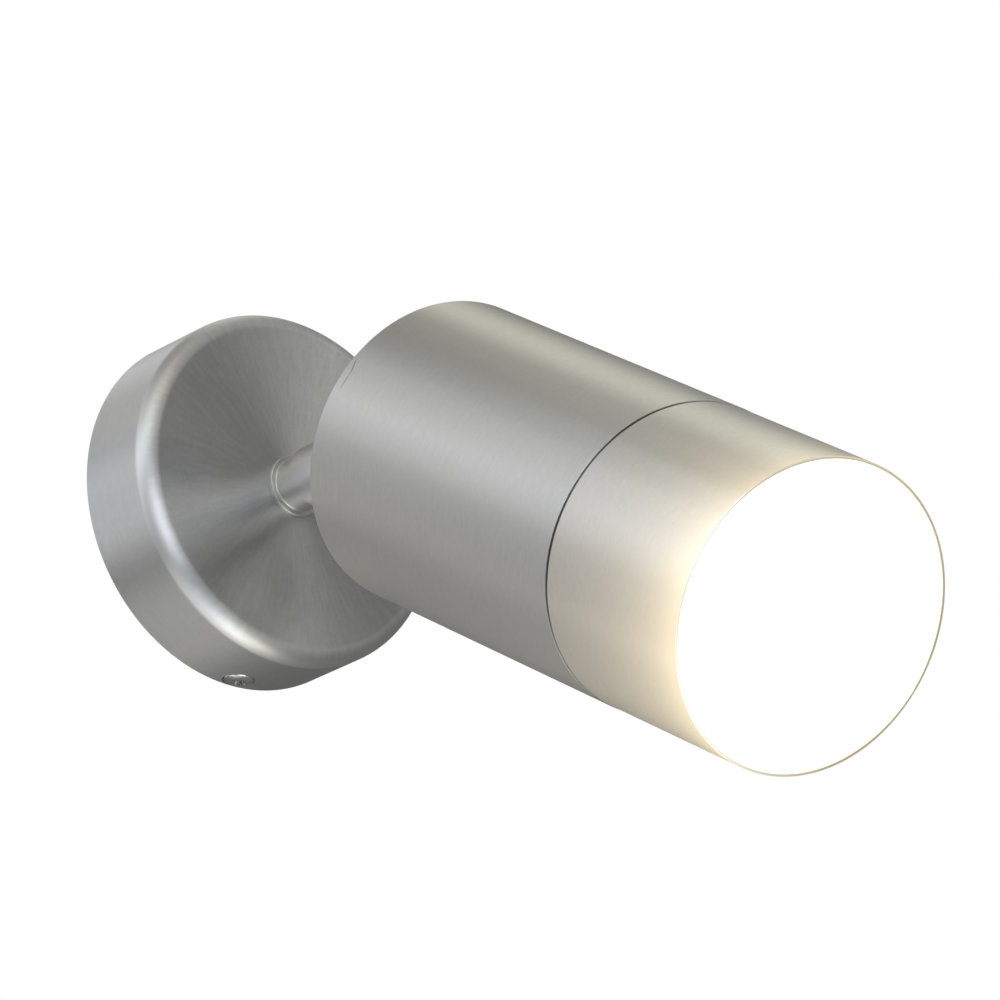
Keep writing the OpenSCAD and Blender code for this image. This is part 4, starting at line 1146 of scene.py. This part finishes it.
def add_near_lamp(towards, colour):
    """A round soft lamp that faces the canopy from the given direction. The camera doesn't see it."""
    data = bpy.data.lights.new("near_lamp", "AREA")
    data.shape = "DISK"
    data.size = NEAR_WIDTH
    brightest = max(colour)
    data.color = [channel / brightest for channel in colour]
    data.energy = brightest * pi * pi * (NEAR_WIDTH / 2) ** 2
    lamp = in_scene("near_lamp", data)
    facing = towards.to_track_quat("Z", "Y").to_matrix().to_4x4()
    lamp.matrix_world = Matrix.Translation(NEAR_CENTRE + towards * NEAR_DISTANCE) @ facing
    lamp.visible_camera = False


def build_sky(tree):
    """White behind everything, and round soft lamps for what lights the object and shows in its steel."""
    tree.nodes.clear()
    direction = add(tree, "TexCoord").outputs["Generated"]
    total = (0, 0, 0)
    for towards, colour in FAR_LAMPS:
        facing = vectors(tree, "DOT_PRODUCT", direction, Vector(towards).normalized())
        lobe = maths(tree, "POWER", maths(tree, "MAXIMUM", facing, 0.0), LAMP_NARROW)
        total = vectors(tree, "ADD", total, scaled(tree, colour, lobe))
    rays = add(tree, "LightPath")
    seen = maths(tree, "MAXIMUM", rays.outputs["Is Camera Ray"], rays.outputs["Is Transmission Ray"])
    share = maths(tree, "MAXIMUM", seen, times(tree, rays.outputs["Is Glossy Ray"], WHITE_SHARE))
    sky = add(tree, "Background", Color=mixed(tree, share, total, WHITE), Strength=1.0)
    add(tree, "OutputWorld", Surface=sky.outputs[0])


class TubeLightPanel(Panel):
    """Lists the sizes and colours, and a button for each piece"""
    bl_label = "Tube wall light"
    bl_idname = "VIEW3D_PT_tube_light"
    bl_space_type = "VIEW_3D"
    bl_region_type = "UI"
    bl_category = "Tube light"

    def draw(self, context):
        layout = self.layout
        for group in (context.scene.light_sizes, context.scene.light_finish, context.scene.stage_settings):
            box = layout.box()
            for name in group.bl_rna.properties.keys():
                if name not in ("rna_type", "name"):
                    box.prop(group, name)
        for operator in STEPS:
            layout.operator(operator.bl_idname)


STEPS = (
    MakeStage, DressCarriedParts, MakeCanopy, MakeSideScrews, MakeStem, MakeKnuckle, MakeTube, MakeFrontRing,
    MakeFrontGlass, MakeNuts, MakeLeads, MakeWallFittings, MakeLamp,
)
CLASSES = (LightSizes, LightFinish, StageSettings, *STEPS, TubeLightPanel)


def register():
    for kind in CLASSES:
        bpy.utils.register_class(kind)
    bpy.types.Scene.light_sizes = PointerProperty(type=LightSizes)
    bpy.types.Scene.light_finish = PointerProperty(type=LightFinish)
    bpy.types.Scene.stage_settings = PointerProperty(type=StageSettings)


def unregister():
    del bpy.types.Scene.stage_settings
    del bpy.types.Scene.light_finish
    del bpy.types.Scene.light_sizes
    for kind in reversed(CLASSES):
        bpy.utils.unregister_class(kind)


def main():
    register()
    for operator in STEPS:
        getattr(bpy.ops.tube_light, operator.bl_idname.split(".")[1])()


if __name__ == "__main__":
    main()
